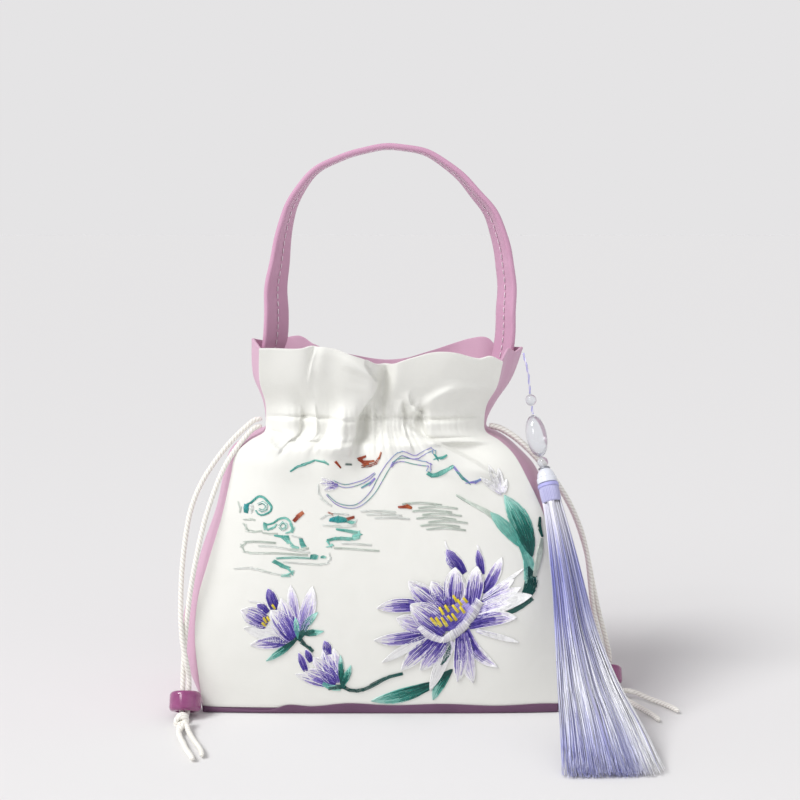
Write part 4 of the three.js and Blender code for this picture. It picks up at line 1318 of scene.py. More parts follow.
@dataclass
class ClothBody:
    """The satin walls and base of the purse."""

    shape: BodyShape = BodyShape()
    thickness: float = 1.5 * MM
    turn_up_gap: float = 0.7 * MM
    hem_share: float = 0.35
    base_thickness: float = 3.2 * MM
    base_rounding: float = 0.8 * MM
    turn_up_foot: float = 0.4 * MM
    turn_up_roll: float = 0.35 * MM
    turn_up_grid: tuple[int, int] = (180, 8)
    front_grid: tuple[int, int] = (250, 160)
    back_grid: tuple[int, int] = (130, 110)
    gusset_grid: tuple[int, int] = (40, 110)
    densities: tuple[Density, ...] = table(Density, (0, 0), (0.32, 0.6), (0.9, 0.93), (1, 1))
    white: Satin = Satin("white polyester satin", "#e9e9e4", "#e2e2dc", 0.42, 0.1)
    pink: Satin = Satin("pink polyester satin", "#d4abc2", "#c69bb3", 0.5, 0.15)
    # Painted shade: the base is the same pink satin as the walls, drawn in a darker plum for the shade that
    # it lies in.
    plum: Satin = Satin("pink satin painted darker as shade at the base", "#6f4d69", "#5b3d56", 0.55, 0.1)

    def thickened(self, piece: Object, thickness: float) -> Object:
        """Gives a sheet its thickness, inwards from its outer side.

        Args:
            piece: The sheet.
            thickness: Its thickness.

        Returns:
            The same piece.
        """
        wall = piece.modifiers.new("wall", "SOLIDIFY")
        wall.thickness = thickness
        wall.offset = -1
        return piece

    def sheet_piece(self, name: str, node: str, grid: tuple[int, int],
                    shape_of: Callable[[Values, Values], Values], outwards: Sequence[float],
                    finish: Material, slot: str) -> Object:
        """Shapes a grid into one satin wall.

        Args:
            name: The piece's name.
            node: The frame's node that it replaces.
            grid: Faces across and up.
            shape_of: Gives points from places across (-1 to 1) and heights (0 to 1).
            outwards: A direction out of the purse at this wall.
            finish: Its material.
            slot: The record's material slot.

        Returns:
            The piece, with its thickness.
        """
        mesh, across, up = laid_grid(*grid)
        across = across * 2 - 1
        points = shape_of(across, np.interp(up, *zip(*self.densities)))
        set_coordinates(mesh, points)
        set_run_map(mesh, "cloth", across * self.shape.half_width / MM, points[:, 2] / MM)
        normals = np.empty(len(mesh.polygons) * 3, np.float32)
        mesh.polygons.foreach_get("normal", normals)
        if np.mean(normals.reshape(-1, 3) @ np.array(outwards)) < 0:
            mesh.flip_normals()
        piece = self.thickened(add_piece(name, mesh, finish, slot, [node]), self.thickness)
        hem = piece.modifiers.new("hem", "BEVEL")
        hem.width = self.thickness * self.hem_share
        hem.segments = 2
        hem.limit_method = "ANGLE"
        hem.angle_limit = math.radians(60)
        return piece

    def base_mesh(self) -> Mesh:
        """Makes the base panel under the feet of the four walls.

        Returns:
            The closed mesh.
        """
        across = np.linspace(-1, 1, 40)
        foot = np.zeros_like(across)
        inner = np.linspace(-0.9, 0.9, 12)
        inner_foot = np.zeros_like(inner)
        ring = np.vstack([
            self.shape.panel(across, foot, True, False),
            self.shape.gusset(-inner, inner_foot, 1),
            self.shape.panel(-across, foot, False, False),
            self.shape.gusset(inner, inner_foot, -1),
        ])
        shell = bmesh.new()
        plate = shell.faces.new([shell.verts.new((x, y, 0)) for x, y, _ in ring])
        raised = bmesh.ops.extrude_face_region(shell, geom=[plate])
        tops = [item for item in raised["geom"] if isinstance(item, bmesh.types.BMVert)]
        bmesh.ops.translate(shell, verts=tops, vec=(0, 0, self.base_thickness))
        bmesh.ops.recalc_face_normals(shell, faces=shell.faces)
        rims = [edge for edge in shell.edges if abs(edge.verts[0].co.z - edge.verts[1].co.z) < 1e-6]
        bmesh.ops.bevel(shell, geom=rims, offset=self.base_rounding, segments=3, profile=0.5,
                        affect="EDGES", material=-1)
        mesh = mesh_of(shell, "base")
        places = coordinates(mesh)
        set_run_map(mesh, "cloth", places[:, 0] / MM, places[:, 1] / MM + places[:, 2] / MM)
        return mesh

    def turned_up_edge(self, finish: Material) -> Object:
        """Builds the base's cloth where it is turned up over the foot of the front.

        Args:
            finish: Its material.

        Returns:
            The piece.
        """
        mesh, across, up = laid_grid(*self.turn_up_grid)
        across = across * 2 - 1
        reach = read_table(FOOT_EDGE, "height_mm", across) * MM
        level = self.turn_up_foot + up * (reach - self.turn_up_foot)
        share = np.maximum(level - self.shape.foot, 0) / (self.shape.mouth - self.shape.foot)
        points = self.shape.panel(across, share, True)
        points[:, 1] -= self.turn_up_gap + self.turn_up_roll * np.sin(np.pi * up)
        points[:, 2] = level
        set_coordinates(mesh, points)
        set_run_map(mesh, "cloth", across * self.shape.half_width / MM, level / MM)
        if np.mean([face.normal.y for face in mesh.polygons]) > 0:
            mesh.flip_normals()
        return self.thickened(add_piece("base_turn_up", mesh, finish, "pink_satin"), self.turn_up_gap)

    def build(self) -> Object:
        """Returns:
            The front panel, for the embroidery to lie on.
        """
        white, pink = self.white.material(), self.pink.material()
        panel, gusset = self.shape.panel, self.shape.gusset
        front, back, right, left = (self.sheet_piece(*row) for row in (
            ("front_satin", "front_panel", self.front_grid,
             lambda across, height: panel(across, height, True), (0, -1, 0), white, "white_satin"),
            ("back_satin", "back_panel", self.back_grid,
             lambda across, height: panel(across, height, False), (0, 1, 0), pink, "pink_satin"),
            ("right_gusset_satin", "right_gusset", self.gusset_grid,
             lambda forward, height: gusset(forward, height, 1), (1, 0, 0), pink, "pink_satin"),
            ("left_gusset_satin", "left_gusset", self.gusset_grid,
             lambda forward, height: gusset(forward, height, -1), (-1, 0, 0), pink, "pink_satin"),
        ))
        # The base and its turned-up edge wear the plum satin with its painted shade.
        plum = self.plum.material()
        base = add_piece("base_satin", self.base_mesh(), plum, "pink_satin", ["base_panel"])
        edge = self.turned_up_edge(plum)
        return front


# Strap handle

class StrapPoint(NamedTuple):
    """Centre of the strap, in shares of its reach and rise, and its turn in degrees."""

    across: float
    up: float
    turn: float


STRAP_ROUTE = table(
    StrapPoint,
    (-0.929, 0.03, 38), (-0.915, 0.285, 32), (-0.868, 0.478, 22),
    (-0.813, 0.634, 14), (-0.707, 0.789, 7), (-0.541, 0.894, 3),
    (-0.308, 0.959, 1), (-0.06, 0.996, 0), (0.13, 1.0, -1),
    (0.35, 0.985, -3), (0.53, 0.93, -6), (0.7, 0.852, -9),
    (0.859, 0.749, -13), (0.96, 0.659, -16), (1.035, 0.538, -20),
    (1.081, 0.397, -22), (1.098, 0.234, -24), (1.079, 0.004, -26),
)


class SectionPoint(NamedTuple):
    """A point of a quarter of the strap's section, in shares of half its width and thickness."""

    across: float
    thick: float


STRAP_SECTION = table(
    SectionPoint,
    (1.0, 0.0), (0.985, 0.6), (0.94, 0.92), (0.8, 1.0),
    (0.5, 0.92), (0.24, 0.9), (0.09, 0.78), (0.0, 0.55),
)


@dataclass
class StrapHandle:
    """The strap: satin folded flat, stitched down its middle, sewn inside both gussets."""

    shape: BodyShape = BodyShape()
    reach: float = 66 * MM
    rise: float = 113 * MM
    width: float = 20 * MM
    thickness: float = 3 * MM
    corner: float = 0.8 * MM
    foot_drop: float = 16 * MM
    lean: float = 8 * MM
    rings: int = 340
    buckle: float = 0.2 * MM
    stitch_pitch: float = 4.4 * MM
    stitch_length: float = 3.0 * MM
    stitch_width: float = 0.9 * MM
    stitch_lift: float = 0.55 * MM
    stitch_depth: float = 0.3
    first_stitch: float = 6 * MM
    finish: Satin = Satin("pink polyester satin strap", "#d0a2bd", "#c594b0", 0.5, 0.15)
    thread: Thread = Thread("pale pink sewing thread", 0.5, 0.3)
    thread_colour: str = "#fbeef6"

    def seat(self, side: int) -> tuple[Values, float]:
        """Where the strap's end lies inside a gusset's back half.

        Args:
            side: 1 for the right gusset and -1 for the left.

        Returns:
            The end's centre, and its turn in degrees.
        """
        height = np.array([1 - self.foot_drop / self.shape.mouth])

        def inner(forward: float) -> Values:
            """A point of the gusset's inner side."""
            here, front, back = (
                self.shape.gusset(np.array([place]), height, side)[0]
                for place in (forward, forward + side / 3, forward - side / 3)
            )
            inwards = unit(np.array([front[1] - back[1], back[0] - front[0], 0]))
            return here + inwards * self.shape.wall

        middle, behind = inner(0.0), inner(-2 / 3)
        along = unit((behind - middle) * (1, 1, 0))
        into = np.array([-side * along[1], side * along[0], 0])
        centre = middle + along * (self.width / 2 + self.corner)
        centre = centre + into * (self.shape.seam_gap + self.thickness / 2)
        return centre, math.degrees(math.atan2(along[0], along[1]))

    def route(self) -> tuple[Values, Values, Values]:
        """Lays the strap's route.

        Returns:
            Centres of its rings, and the directions of its width and of its thickness.
        """
        (left, left_turn), (right, right_turn) = self.seat(-1), self.seat(1)
        points = [(row.across * self.reach, self.lean, self.shape.mouth + row.up * self.rise)
                  for row in STRAP_ROUTE]
        turns = [left_turn, *(row.turn for row in STRAP_ROUTE), right_turn]
        centres = smooth_path([left, *points, right], self.rings)
        place = np.linspace(0, len(turns) - 1, self.rings)
        turn = np.radians(np.interp(place, np.arange(len(turns)), turns))
        spread = np.hanning(25) / np.hanning(25).sum()
        turn = np.convolve(np.pad(turn, 12, "edge"), spread, "valid")
        tangents = unit(np.gradient(centres, axis=0))
        broad = np.column_stack([np.sin(turn), np.cos(turn), np.zeros_like(turn)])
        broad = unit(broad - tangents * np.sum(broad * tangents, axis=1, keepdims=True))
        thin = np.cross(tangents, broad)
        run = run_length(centres) / MM
        wave = np.sin(run / 6.1) + 0.8 * np.sin(run / 3.7 + 1) + np.sin(run / 14 + 2)
        fade = np.clip(np.minimum(run, run[-1] - run) / 30, 0, 1)
        return centres + thin * (wave * fade * self.buckle)[:, None], broad, thin

    def build(self) -> None:
        """Builds the strap and the stitches down both of its faces."""
        centres, broad, thin = self.route()
        quarter = len(STRAP_SECTION) - 1
        sides = 4 * quarter
        angles = TURN * np.arange(sides) / sides
        order = [abs((side + quarter) % (2 * quarter) - quarter) for side in range(sides)]
        across = np.array([STRAP_SECTION[place].across for place in order])
        thick = np.array([STRAP_SECTION[place].thick for place in order])
        wide_scale = across / np.maximum(np.abs(np.cos(angles)), 1e-6)
        thick_scale = thick / np.maximum(np.abs(np.sin(angles)), 1e-6)
        mesh = Strands(1, self.rings, sides).laid(
            centres, broad, thin, self.width / 2 * wide_scale, self.thickness / 2 * thick_scale,
            girth=2 * self.width / MM, map_name="cloth")
        strap = add_piece("strap_satin", mesh, self.finish.material(), "pink_satin", ["handle_strap"])
        run = run_length(centres)
        log.info("the strap is %.4f m long", run[-1])
        starts = np.arange(self.first_stitch, run[-1] - self.first_stitch, self.stitch_pitch)
        faces = []
        for face in (1, -1):
            line = centres + thin * face * self.thickness * self.stitch_depth
            ends = [read_columns(starts + step, run, line) for step in (0, self.stitch_length)]
            faces.append((*ends, unit(read_columns(starts, run, thin)) * face))
        rows = [np.vstack(column) for column in zip(*faces)]
        count = len(rows[0])
        tones = np.tile(linear_rows([self.thread_colour]), (count, 1))
        dashes = stitch_mesh(*rows, self.stitch_width, np.full(count, self.stitch_lift), tones, 6)
        stitches = add_piece("strap_stitching", dashes, self.thread.material(), "pink_satin")


# Pendant and tassel

class PendantPoint(NamedTuple):
    """A point of the hanging line, in shares of half width, half depth and mouth height."""

    across: float
    out: float
    up: float


PENDANT_ROUTE = table(
    PendantPoint,
    (0.814, 0.085, 0.984), (0.836, 0.215, 0.936), (0.852, 0.33, 0.854),
    (0.883, 0.45, 0.754), (0.912, 0.598, 0.69), (0.936, 0.75, 0.6325),
    (0.965, 0.935, 0.5635),
)


class SkirtPoint(NamedTuple):
    """Centre of the skirt, in the same shares, and its half sizes as shares of its half width."""

    across: float
    out: float
    up: float
    wide: float
    thick: float


SKIRT = table(
    SkirtPoint,
    (0.958, 0.885, 0.581, 0.2, 0.192), (0.986, 1.025, 0.512, 0.246, 0.223),
    (1.01, 1.165, 0.443, 0.292, 0.246), (1.036, 1.35, 0.36, 0.346, 0.27),
    (1.06, 1.55, 0.276, 0.423, 0.285), (1.09, 1.825, 0.195, 0.54, 0.27),
    (1.12, 2.15, 0.128, 0.67, 0.238), (1.15, 2.525, 0.076, 0.81, 0.2),
    (1.17, 2.925, 0.0325, 0.92, 0.146), (1.176, 3.4, 0.008, 1.0, 0.062),
)


class SkirtShare(NamedTuple):
    """Half sizes of the skirt at a share of its length."""

    share: float
    wide: float
    thick: float


class Tone(NamedTuple):
    """Colour of the tassel's silk at a share of its length, with a painted highlight in the pale run halfway
    down.
    """

    share: float
    colour: str


# The pale run from 0.6 to 0.74 of the length is painted highlight of the silk's sheen where the strands bend
# towards the floor.
SKIRT_TONES_AND_HIGHLIGHT = table(
    Tone,
    (0.0, "#f6f5fd"), (0.2, "#e6e5f8"), (0.27, "#a9abe2"), (0.36, "#757ccb"), (0.48, "#989be0"),
    (0.6, "#e6e8fa"), (0.74, "#f3f4fd"), (0.86, "#c3c6f1"), (0.94, "#aeb1ea"), (1.0, "#a3a6e4"),
)


class Stretch(NamedTuple):
    """A stretch of the hanging line: its ends, its middle and its way down."""

    top: Values
    middle: Values
    bottom: Values
    down: Values


class HangingLine:
    """The line that the pendant hangs on, taken piece by piece from the top."""

    def __init__(self, shape: BodyShape) -> None:
        """Lays the line.

        Args:
            shape: The body that it hangs beside.
        """
        self.path = evenly_spaced(smooth_path(
            [placed_in(shape, row) for row in PENDANT_ROUTE], 600), 600)
        self.run = run_length(self.path)
        self.gap = shape.seam_gap
        self.taken = 0.0

    def at(self, distance: float) -> Values:
        """The point of the line at a distance from its top."""
        return read_columns(distance, self.run, self.path)

    def take(self, length: float) -> Stretch:
        """Takes the next stretch of the line, and a gap after it.

        Args:
            length: Its length.

        Returns:
            The stretch.
        """
        top, middle, bottom = (self.at(self.taken + length * share) for share in (0, 0.5, 1))
        self.taken += length + self.gap
        return Stretch(top, middle, bottom, unit(bottom - top))


def placed_in(shape: BodyShape, row: PendantPoint | SkirtPoint) -> Values:
    """The point of a row that gives its place in shares of the body's sizes."""
    return np.array(
        [row.across * shape.half_width, -row.out * shape.half_depth, row.up * shape.mouth])


@dataclass
class Tassel:
    """The string of clear beads at the gusset's corner, with the silk tassel under it."""

    shape: BodyShape = BodyShape()
    thread_length: float = 24.5 * MM
    thread_diameter: float = 0.75 * MM
    bead_radius: float = 3.2 * MM
    link_length: float = 4.6 * MM
    drop_radius: float = 5.9 * MM
    drop_height: float = 24.4 * MM
    neck_radius: float = 3.1 * MM
    cap_radius: float = 5.7 * MM
    cap_dome: float = 6.0 * MM
    cap_band: float = 3.4 * MM
    head_radius: float = 5.4 * MM
    head_length: float = 11.0 * MM
    skirt_half_width: float = 26.0 * MM
    strand_count: int = 1500
    strand_rings: int = 19
    strand_width: float = 0.5 * MM
    lock_count: int = 34
    lock_spread: float = 0.16
    floor_gap: float = 0.5 * MM
    silk: Thread = Thread("lavender rayon floss", 0.38, 0.35, 2, 0.5)
    silk_light: str = "#e6e6fa"
    silk_mid: str = "#b2b1e6"
    # The dark silk colour is painted shade for the gaps between the locks.
    silk_shadow: str = "#5a55a8"
    silk_pale: str = "#fbfbff"
    binding_thickness: float = 0.85 * MM
    head_count: int = 110
    head_colours: tuple[str, ...] = (
        "#bcbbdf", "#b1b0d9", "#cfcfe9", "#a5a4d0", "#bcbbdf", "#c6c5e4")
    rounding: float = 0.4 * MM
    sway: float = 0.8 * MM
    floor_spread: float = 1.2 * MM
    ring_drop: float = 0.5 * MM
    binding_drop: float = 1.2 * MM
    ring_radius: float = 2.6 * MM
    ring_thick: float = 0.75 * MM
    clear: Moulding = Moulding("clear acrylic", "#f4f6fa", 0.04, 0.0, 0.85, 0.3, ior=1.49,
                               flow_mm=4.0, flow_height_mm=0.1)
    pearl: Moulding = Moulding("white pearl plastic", "#dcdfe8", 0.25)
    metal: Moulding = Moulding("grey plated ring", "#9a9ca3", 0.3, 0.7)

    def tones(self, count: int, colours: Sequence[str]) -> Values:
        """Gives each thread one of some colours in turn."""
        return linear_rows(colours)[np.arange(count) % len(colours)][:, None]

    def doubled_thread(self, stretch: Stretch, turns: float) -> Mesh:
        """Lays two threads round each other along a stretch of the line.

        Args:
            stretch: The stretch.
            turns: How often they go round each other.

        Returns:
            The mesh of both.
        """
        rings = 40
        line = smooth_path([stretch.top, stretch.middle, stretch.bottom], rings)
        side, up = carried_frame(line, (1, 0, 0))
        angle = TURN * turns * np.linspace(0, 1, rings)
        reach = self.thread_diameter * 0.42
        swing = (side * np.cos(angle)[:, None] + up * np.sin(angle)[:, None]) * reach
        half = self.thread_diameter / 2
        return Strands(2, rings, 8).laid(
            np.stack([line + swing, line - swing]), side, up, half, half,
            self.tones(2, (self.silk_mid, self.silk_light)))

    def wound_thread(self, centre: Values, down: Values, radius: float, turns: int) -> Mesh:
        """Winds a thread round the tassel's neck, turn beside turn.

        Args:
            centre: Middle of the winding.
            down: The way that the neck points.
            radius: Radius of the winding.
            turns: How many there are.

        Returns:
            The thread's mesh.
        """
        rings = 30 * turns
        ways = ring_ways(down, np.linspace(0, TURN * turns, rings))
        rise = down * self.binding_thickness * (turns - 1)
        path = centre + ways * radius + np.linspace(-0.5, 0.5, rings)[:, None] * rise
        half = self.binding_thickness / 2
        return Strands(1, rings, 8).laid(path, ways, down, half, half,
                                         self.tones(1, (self.silk_mid,)))

    def head_threads(self, stretch: Stretch) -> Mesh:
        """Lays the folded silk of the head, thread beside thread over its core.

        Args:
            stretch: The stretch of the line that the head takes.

        Returns:
            The mesh of all the threads.
        """
        rings = 12
        share = np.linspace(0, 1, rings)
        ways = ring_ways(stretch.down, TURN * np.arange(self.head_count) / self.head_count)
        swell = self.head_radius * (0.93 + 0.08 * np.sin(np.pi * share))
        line = stretch.top + (stretch.bottom - stretch.top) * share[:, None]
        half = math.pi * self.head_radius / self.head_count * 1.25
        return Strands(self.head_count, rings, 4).laid(
            line + ways[:, None] * swell[:, None], np.cross(stretch.down, ways)[:, None],
            ways[:, None], half, half, self.tones(self.head_count, self.head_colours))

    def strands(self, head: Stretch) -> Mesh:
        """The hanging silk: locks of strands that fan out and lie down on the floor, with painted highlight
        and painted shade in their colours.

        Args:
            head: The stretch of the line that the tassel's head takes.

        Returns:
            The mesh of all the strands.
        """
        random = np.random.default_rng(7)
        count, rings = self.strand_count, self.strand_rings
        fine = 300
        centres = smooth_path([head.middle, *(placed_in(self.shape, row) for row in SKIRT)], fine)
        tangents = unit(np.gradient(centres, axis=0))
        across = unit(np.array([1.0, 0, 0]) - tangents * tangents[:, :1])
        outwards = np.cross(tangents, across)
        places = np.linspace(0, 1, fine)
        sizes = [SkirtShare(index / len(SKIRT), row.wide, row.thick)
                 for index, row in enumerate((SKIRT[0], *SKIRT))]
        wide = read_table(sizes, "wide", places) * self.skirt_half_width
        thick = read_table(sizes, "thick", places) * self.skirt_half_width

        turn = random.uniform(0, TURN, self.lock_count)
        reach = np.sqrt(random.uniform(0, 1, self.lock_count)) * 0.86
        lock = random.integers(0, self.lock_count, count)
        aside = reach[lock] * np.cos(turn[lock]) + random.normal(0, self.lock_spread, count)
        lift = reach[lock] * np.sin(turn[lock]) + random.normal(0, self.lock_spread, count)
        far = np.maximum(np.hypot(aside, lift), 1)
        aside, lift = aside / far, lift / far

        start = 0.05
        end = 1 - 0.07 * random.uniform(0, 1, count) ** 2
        end = end - 0.02 * random.uniform(0, 1, self.lock_count)[lock]
        share = start + (end - start)[:, None] * np.linspace(0, 1, rings)
        speed = random.uniform(0.6, 1.6, (2, count))[..., None]
        phase = random.uniform(0, TURN, (2, count))[..., None]
        sway = self.sway * share**1.4 * np.sin(TURN * speed * share + phase)
        side, up, middle = (read_columns(share, places, rows) for rows in (across, outwards, centres))
        aside_by = aside[:, None] * np.interp(share, places, wide) + sway[0]
        lift_by = lift[:, None] * np.interp(share, places, thick) + sway[1]
        paths = middle + side * aside_by[..., None] + up * lift_by[..., None]
        floor = self.floor_gap + self.floor_spread * random.uniform(0, 1, count)[:, None] ** 2
        paths[..., 2] = np.maximum(paths[..., 2], floor)

        keys, colours = zip(*SKIRT_TONES_AND_HIGHLIGHT)
        moved = np.clip(share + random.normal(0, 0.05, count)[:, None], 0, 1)
        colours = read_columns(moved, keys, linear_rows(colours))
        pale = random.uniform(0, 1, count)[:, None, None] ** 1.5 * 0.7
        # Painted highlight: strands on the right of the skirt, halfway down, are mixed towards the pale silk
        # as if sunlit; other strands are pale at random.
        sunlit = smoothstep(aside, 0.2, 0.75)[:, None] * smoothstep(share, 0.3, 0.7)
        pale = np.maximum(pale, sunlit[..., None])
        colours = colours * (1 - pale) + pale * linear_rows([self.silk_pale])
        # Painted shade: a fifth of the strands are darkened towards the shadow colour below the head, for
        # the dark gaps between the locks.
        painted_shade = (random.uniform(0, 1, count) < 0.2)[:, None] * 0.5 * smoothstep(share, 0.15, 0.35)
        painted_shade = painted_shade[..., None]
        colours = colours * (1 - painted_shade) + painted_shade * linear_rows([self.silk_shadow])
        taper = np.clip((1 - np.linspace(0, 1, rings)) / 0.08, 0.4, 1)
        half = self.strand_width / 2 * taper[:, None]
        return Strands(count, rings, 3).laid(paths, side, up, half, half, colours)

    def bead(self, stretch: Stretch, radius: float, length: float) -> Mesh:
        """Makes a bead or drop round the line.

        Args:
            stretch: The stretch of the line that it fills.
            radius: Its radius.
            length: Its length.

        Returns:
            The closed mesh.
        """
        return turned_mesh(arc((0, 0), radius, length / 2, -90, 90, 22), 36, stretch.middle,
                           stretch.down)

    def cap(self, stretch: Stretch) -> Mesh:
        """Makes the dome over the tassel with its straight band.

        Args:
            stretch: The stretch of the line that it fills.

        Returns:
            The closed mesh.
        """
        half, round_by = (self.cap_dome + self.cap_band) / 2, self.rounding
        shoulder, side = -half + self.cap_band, self.cap_radius - round_by
        profile = [(0, -half), (side, -half),
                   *arc((side, -half + round_by), round_by, round_by, -80, 0, 4),
                   *arc((side, shoulder - round_by), round_by, round_by, 0, 90, 4),
                   *arc((0, shoulder), self.cap_radius * 0.9, self.cap_dome, 0, 90, 14)]
        return turned_mesh(profile, 40, stretch.middle, stretch.down)

    def build(self) -> None:
        """Builds the pendant from its thread down to the tassel's silk."""
        line = HangingLine(self.shape)
        silk, clear = self.silk.material(), self.clear.material()
        add_piece("pendant_thread", self.doubled_thread(line.take(self.thread_length), 3.5), silk,
                  "lavender_thread", ["tassel_thread"])
        length = 2 * self.bead_radius
        add_piece("pendant_bead", self.bead(line.take(length), self.bead_radius, length), clear,
                  "clear_bead", ["tassel_bead"])
        add_piece("pendant_link", self.doubled_thread(line.take(self.link_length), 1), silk,
                  "lavender_thread", ["tassel_link"])
        length = self.drop_height
        add_piece("pendant_drop", self.bead(line.take(length), self.drop_radius, length), clear,
                  "clear_bead", ["tassel_drop"])
        length = 2 * self.neck_radius
        add_piece("pendant_neck_bead", self.bead(line.take(length), self.neck_radius, length),
                  clear, "clear_bead", ["tassel_neck_bead"])
        cap = line.take(self.cap_dome + self.cap_band)
        add_piece("pendant_cap", self.cap(cap), self.pearl.material(), "pearl_cap", ["tassel_cap"])
        ring = turned_mesh(arc((self.ring_radius, 0), self.ring_thick, self.ring_thick, 0, 360, 14),
                           36, cap.top + cap.down * self.ring_drop, cap.down)
        add_piece("pendant_ring", ring, self.metal.material(), "pearl_cap")
        head = line.take(self.head_length)
        skirt = add_piece("tassel_silk", self.strands(head), silk, "lavender_thread",
                          ["tassel_skirt"])
        add_piece("tassel_head", self.head_threads(head), silk, "lavender_thread")
        binding = self.wound_thread(head.top + head.down * self.binding_drop, head.down,
                                    self.head_radius * 1.03, 3)
        add_piece("tassel_binding", binding, silk, "lavender_thread")
        log.info("tassel of %d strands in %s", self.strand_count, skirt.name)


# Embroidery

class Shade(Enum):
    """Runs of floss colours, from the root or the start to the tip or the end."""

    PURPLE = ("#35248a", "#45339a", "#6250b0", "#8272c4", "#b7a9df", "#e9e2f5", "#fdfbfd", "#ffffff")
    DEEP = ("#35248a", "#45339a", "#5b49aa", "#7e6ec2", "#b7a9df")
    LILAC = ("#7261b8", "#a99bd8", "#d8cff0", "#f3eff9", "#ffffff")
    WHITE = ("#e3dff0", "#fbfafd", "#ffffff", "#ffffff")
    CUP = ("#ffffff", "#d6d1de", "#ffffff", "#c9c3d6", "#ffffff", "#d6d1de", "#ffffff")
    TEAL = ("#05403f", "#07504b", "#0f6a60", "#3f9f92", "#8fd0c4", "#b9e3da")
    DARK_TEAL = ("#063f3f", "#08504a", "#0b5c56")
    LIGHT_TEAL = ("#3f9c90", "#83c9bd", "#a6dccf")
    RIBBON = ("#8474c8", "#a294d8", "#5fa9a2", "#4a9a92", "#8d7dcc", "#a596de", "#6f97c4")
    CLOUD = ("#2b8580", "#4fa79e", "#79c4b9", "#4fa79e", "#97d4c9")
    POOL = ("#2f9aa6", "#45b3b0", "#2a8a88")
    MIST = ("#e3e9e4", "#f3f5f2", "#dbe3dc", "#f6f7f5")
    SAGE = ("#b3c2b6", "#dde5dd", "#c3cfc4")
    YELLOW = ("#d8b92a", "#f0dc3c", "#f7ec6c")
    RUSSET = ("#6e1f17", "#a8482a", "#d07a4a")

    def colours(self) -> Values:
        """The run's colours in linear light, one row each."""
        return linear_rows(self.value)


(PURPLE, DEEP, LILAC, WHITE, CUP, TEAL, DARK_TEAL, LIGHT_TEAL,
 RIBBON, CLOUD, POOL, MIST, SAGE, YELLOW, RUSSET) = Shade


class Petal(NamedTuple):
    """A petal in long and short stitches: its root, tip, width and sideways bow in pixels."""

    root_px: Pixel
    tip_px: Pixel
    width_px: float
    shade: Shade = PURPLE
    bow_px: float = 0.0


class Band(NamedTuple):
    """A run of stitches along listed pixels, with its widths at start, middle and end.

    A band with no shade of its own is bare cloth between its two edges.
    """

    route_px: tuple[Pixel, ...]
    width_px: tuple[float, float, float]
    shade: Shade | None
    is_across: bool = False
    edges: Shade | None = None


class Motif(NamedTuple):
    """One motif of the embroidery, its parts listed from the bottom up."""

    name: str
    parts: tuple[Petal | Band, ...]
    layer_mm: float = 0.03


BIG_LOTUS = Motif("big_lotus", (
    Petal((463.9, 574), (446.5, 549), 14, DEEP, 1),
    Band(((449, 553), (446, 547), (445, 541)), (3, 1.6, 0.8), WHITE),
    Band(((453, 569), (447, 560), (444.6, 551)), (1, 1.6, 1), WHITE),
    Petal((482, 574.6), (477.5, 549), 8, DEEP), Band(((480, 553), (479, 549), (477, 545)), (3, 2, 1), WHITE),
    Petal((483, 594), (501.8, 557), 11, PURPLE, -1),
    Petal((481, 602), (514, 579), 10, PURPLE),
    Petal((480, 600), (524, 568), 4, WHITE),
    Petal((480, 607), (521, 587), 10, LILAC),
    Petal((474, 614), (532, 595), 15, WHITE, 2),
    Petal((476, 612), (512, 602), 8, LILAC, 1),
    Petal((468, 625), (517, 617), 14, PURPLE, 3),
    Petal((476, 630), (519, 642), 5, WHITE),
    Petal((466, 630), (498, 667), 11, PURPLE, -6),
    Petal((463, 632), (473.4, 683), 14, LILAC, -2),
    Petal((460, 634), (457.5, 682), 13, PURPLE, 2),
    Petal((453, 640), (430, 690), 11, WHITE, -1),
    Petal((446, 637), (420, 670), 15, PURPLE, 1),
    Band(((447.8, 639), (449, 650), (446, 657), (440.5, 665)), (3, 6, 1), DARK_TEAL),
    Petal((436, 637), (401, 670), 14, PURPLE, -1),
    Petal((428, 635), (382, 662), 8, WHITE),
    Petal((426, 633), (373.6, 640), 12, PURPLE, 2),
    Petal((426, 628), (396, 618), 16, LILAC),
    Petal((424, 606), (376.5, 608), 13, PURPLE, -2),
    Petal((443, 610), (408, 581), 19, PURPLE, 1),
    Petal((447, 606), (431, 581), 16, PURPLE),
    Petal((453, 606), (455, 567), 20, PURPLE),
    Petal((471, 606), (477, 566), 17, PURPLE),
    Petal((446, 632), (410, 604), 24, PURPLE, -1),
    Band(((430, 622), (440, 622), (454, 617), (470, 603)), (12, 24, 14), DEEP),
    Band(((479.6, 599.5), (473, 611), (465.6, 622.6)), (10, 13, 10), CUP, True),
    Band(((466.5, 622), (458, 630), (449, 637), (442, 640)), (10, 11, 7), CUP, True),
    Band(((419, 626), (428, 634), (443, 640)), (7, 9, 7), CUP, True),
    *(Band((start, end), (1.6, 3.0, 2.4), YELLOW) for start, end in (
        ((430, 616.5), (437.5, 625.5)), ((435, 616), (442, 626.5)), ((441, 616), (447.5, 626.5)),
        ((439, 606), (444, 615)), ((444.5, 604), (449.5, 612)), ((447, 614.5), (452.5, 621)),
        ((451.5, 612.5), (457, 620.5)), ((452.7, 594.5), (457.5, 602)), ((457, 598.5), (462, 605.5)),
        ((463, 597), (467.5, 602.5)), ((452, 604), (459, 612.5)), ((459.5, 605.5), (465, 613)),
    )),
))
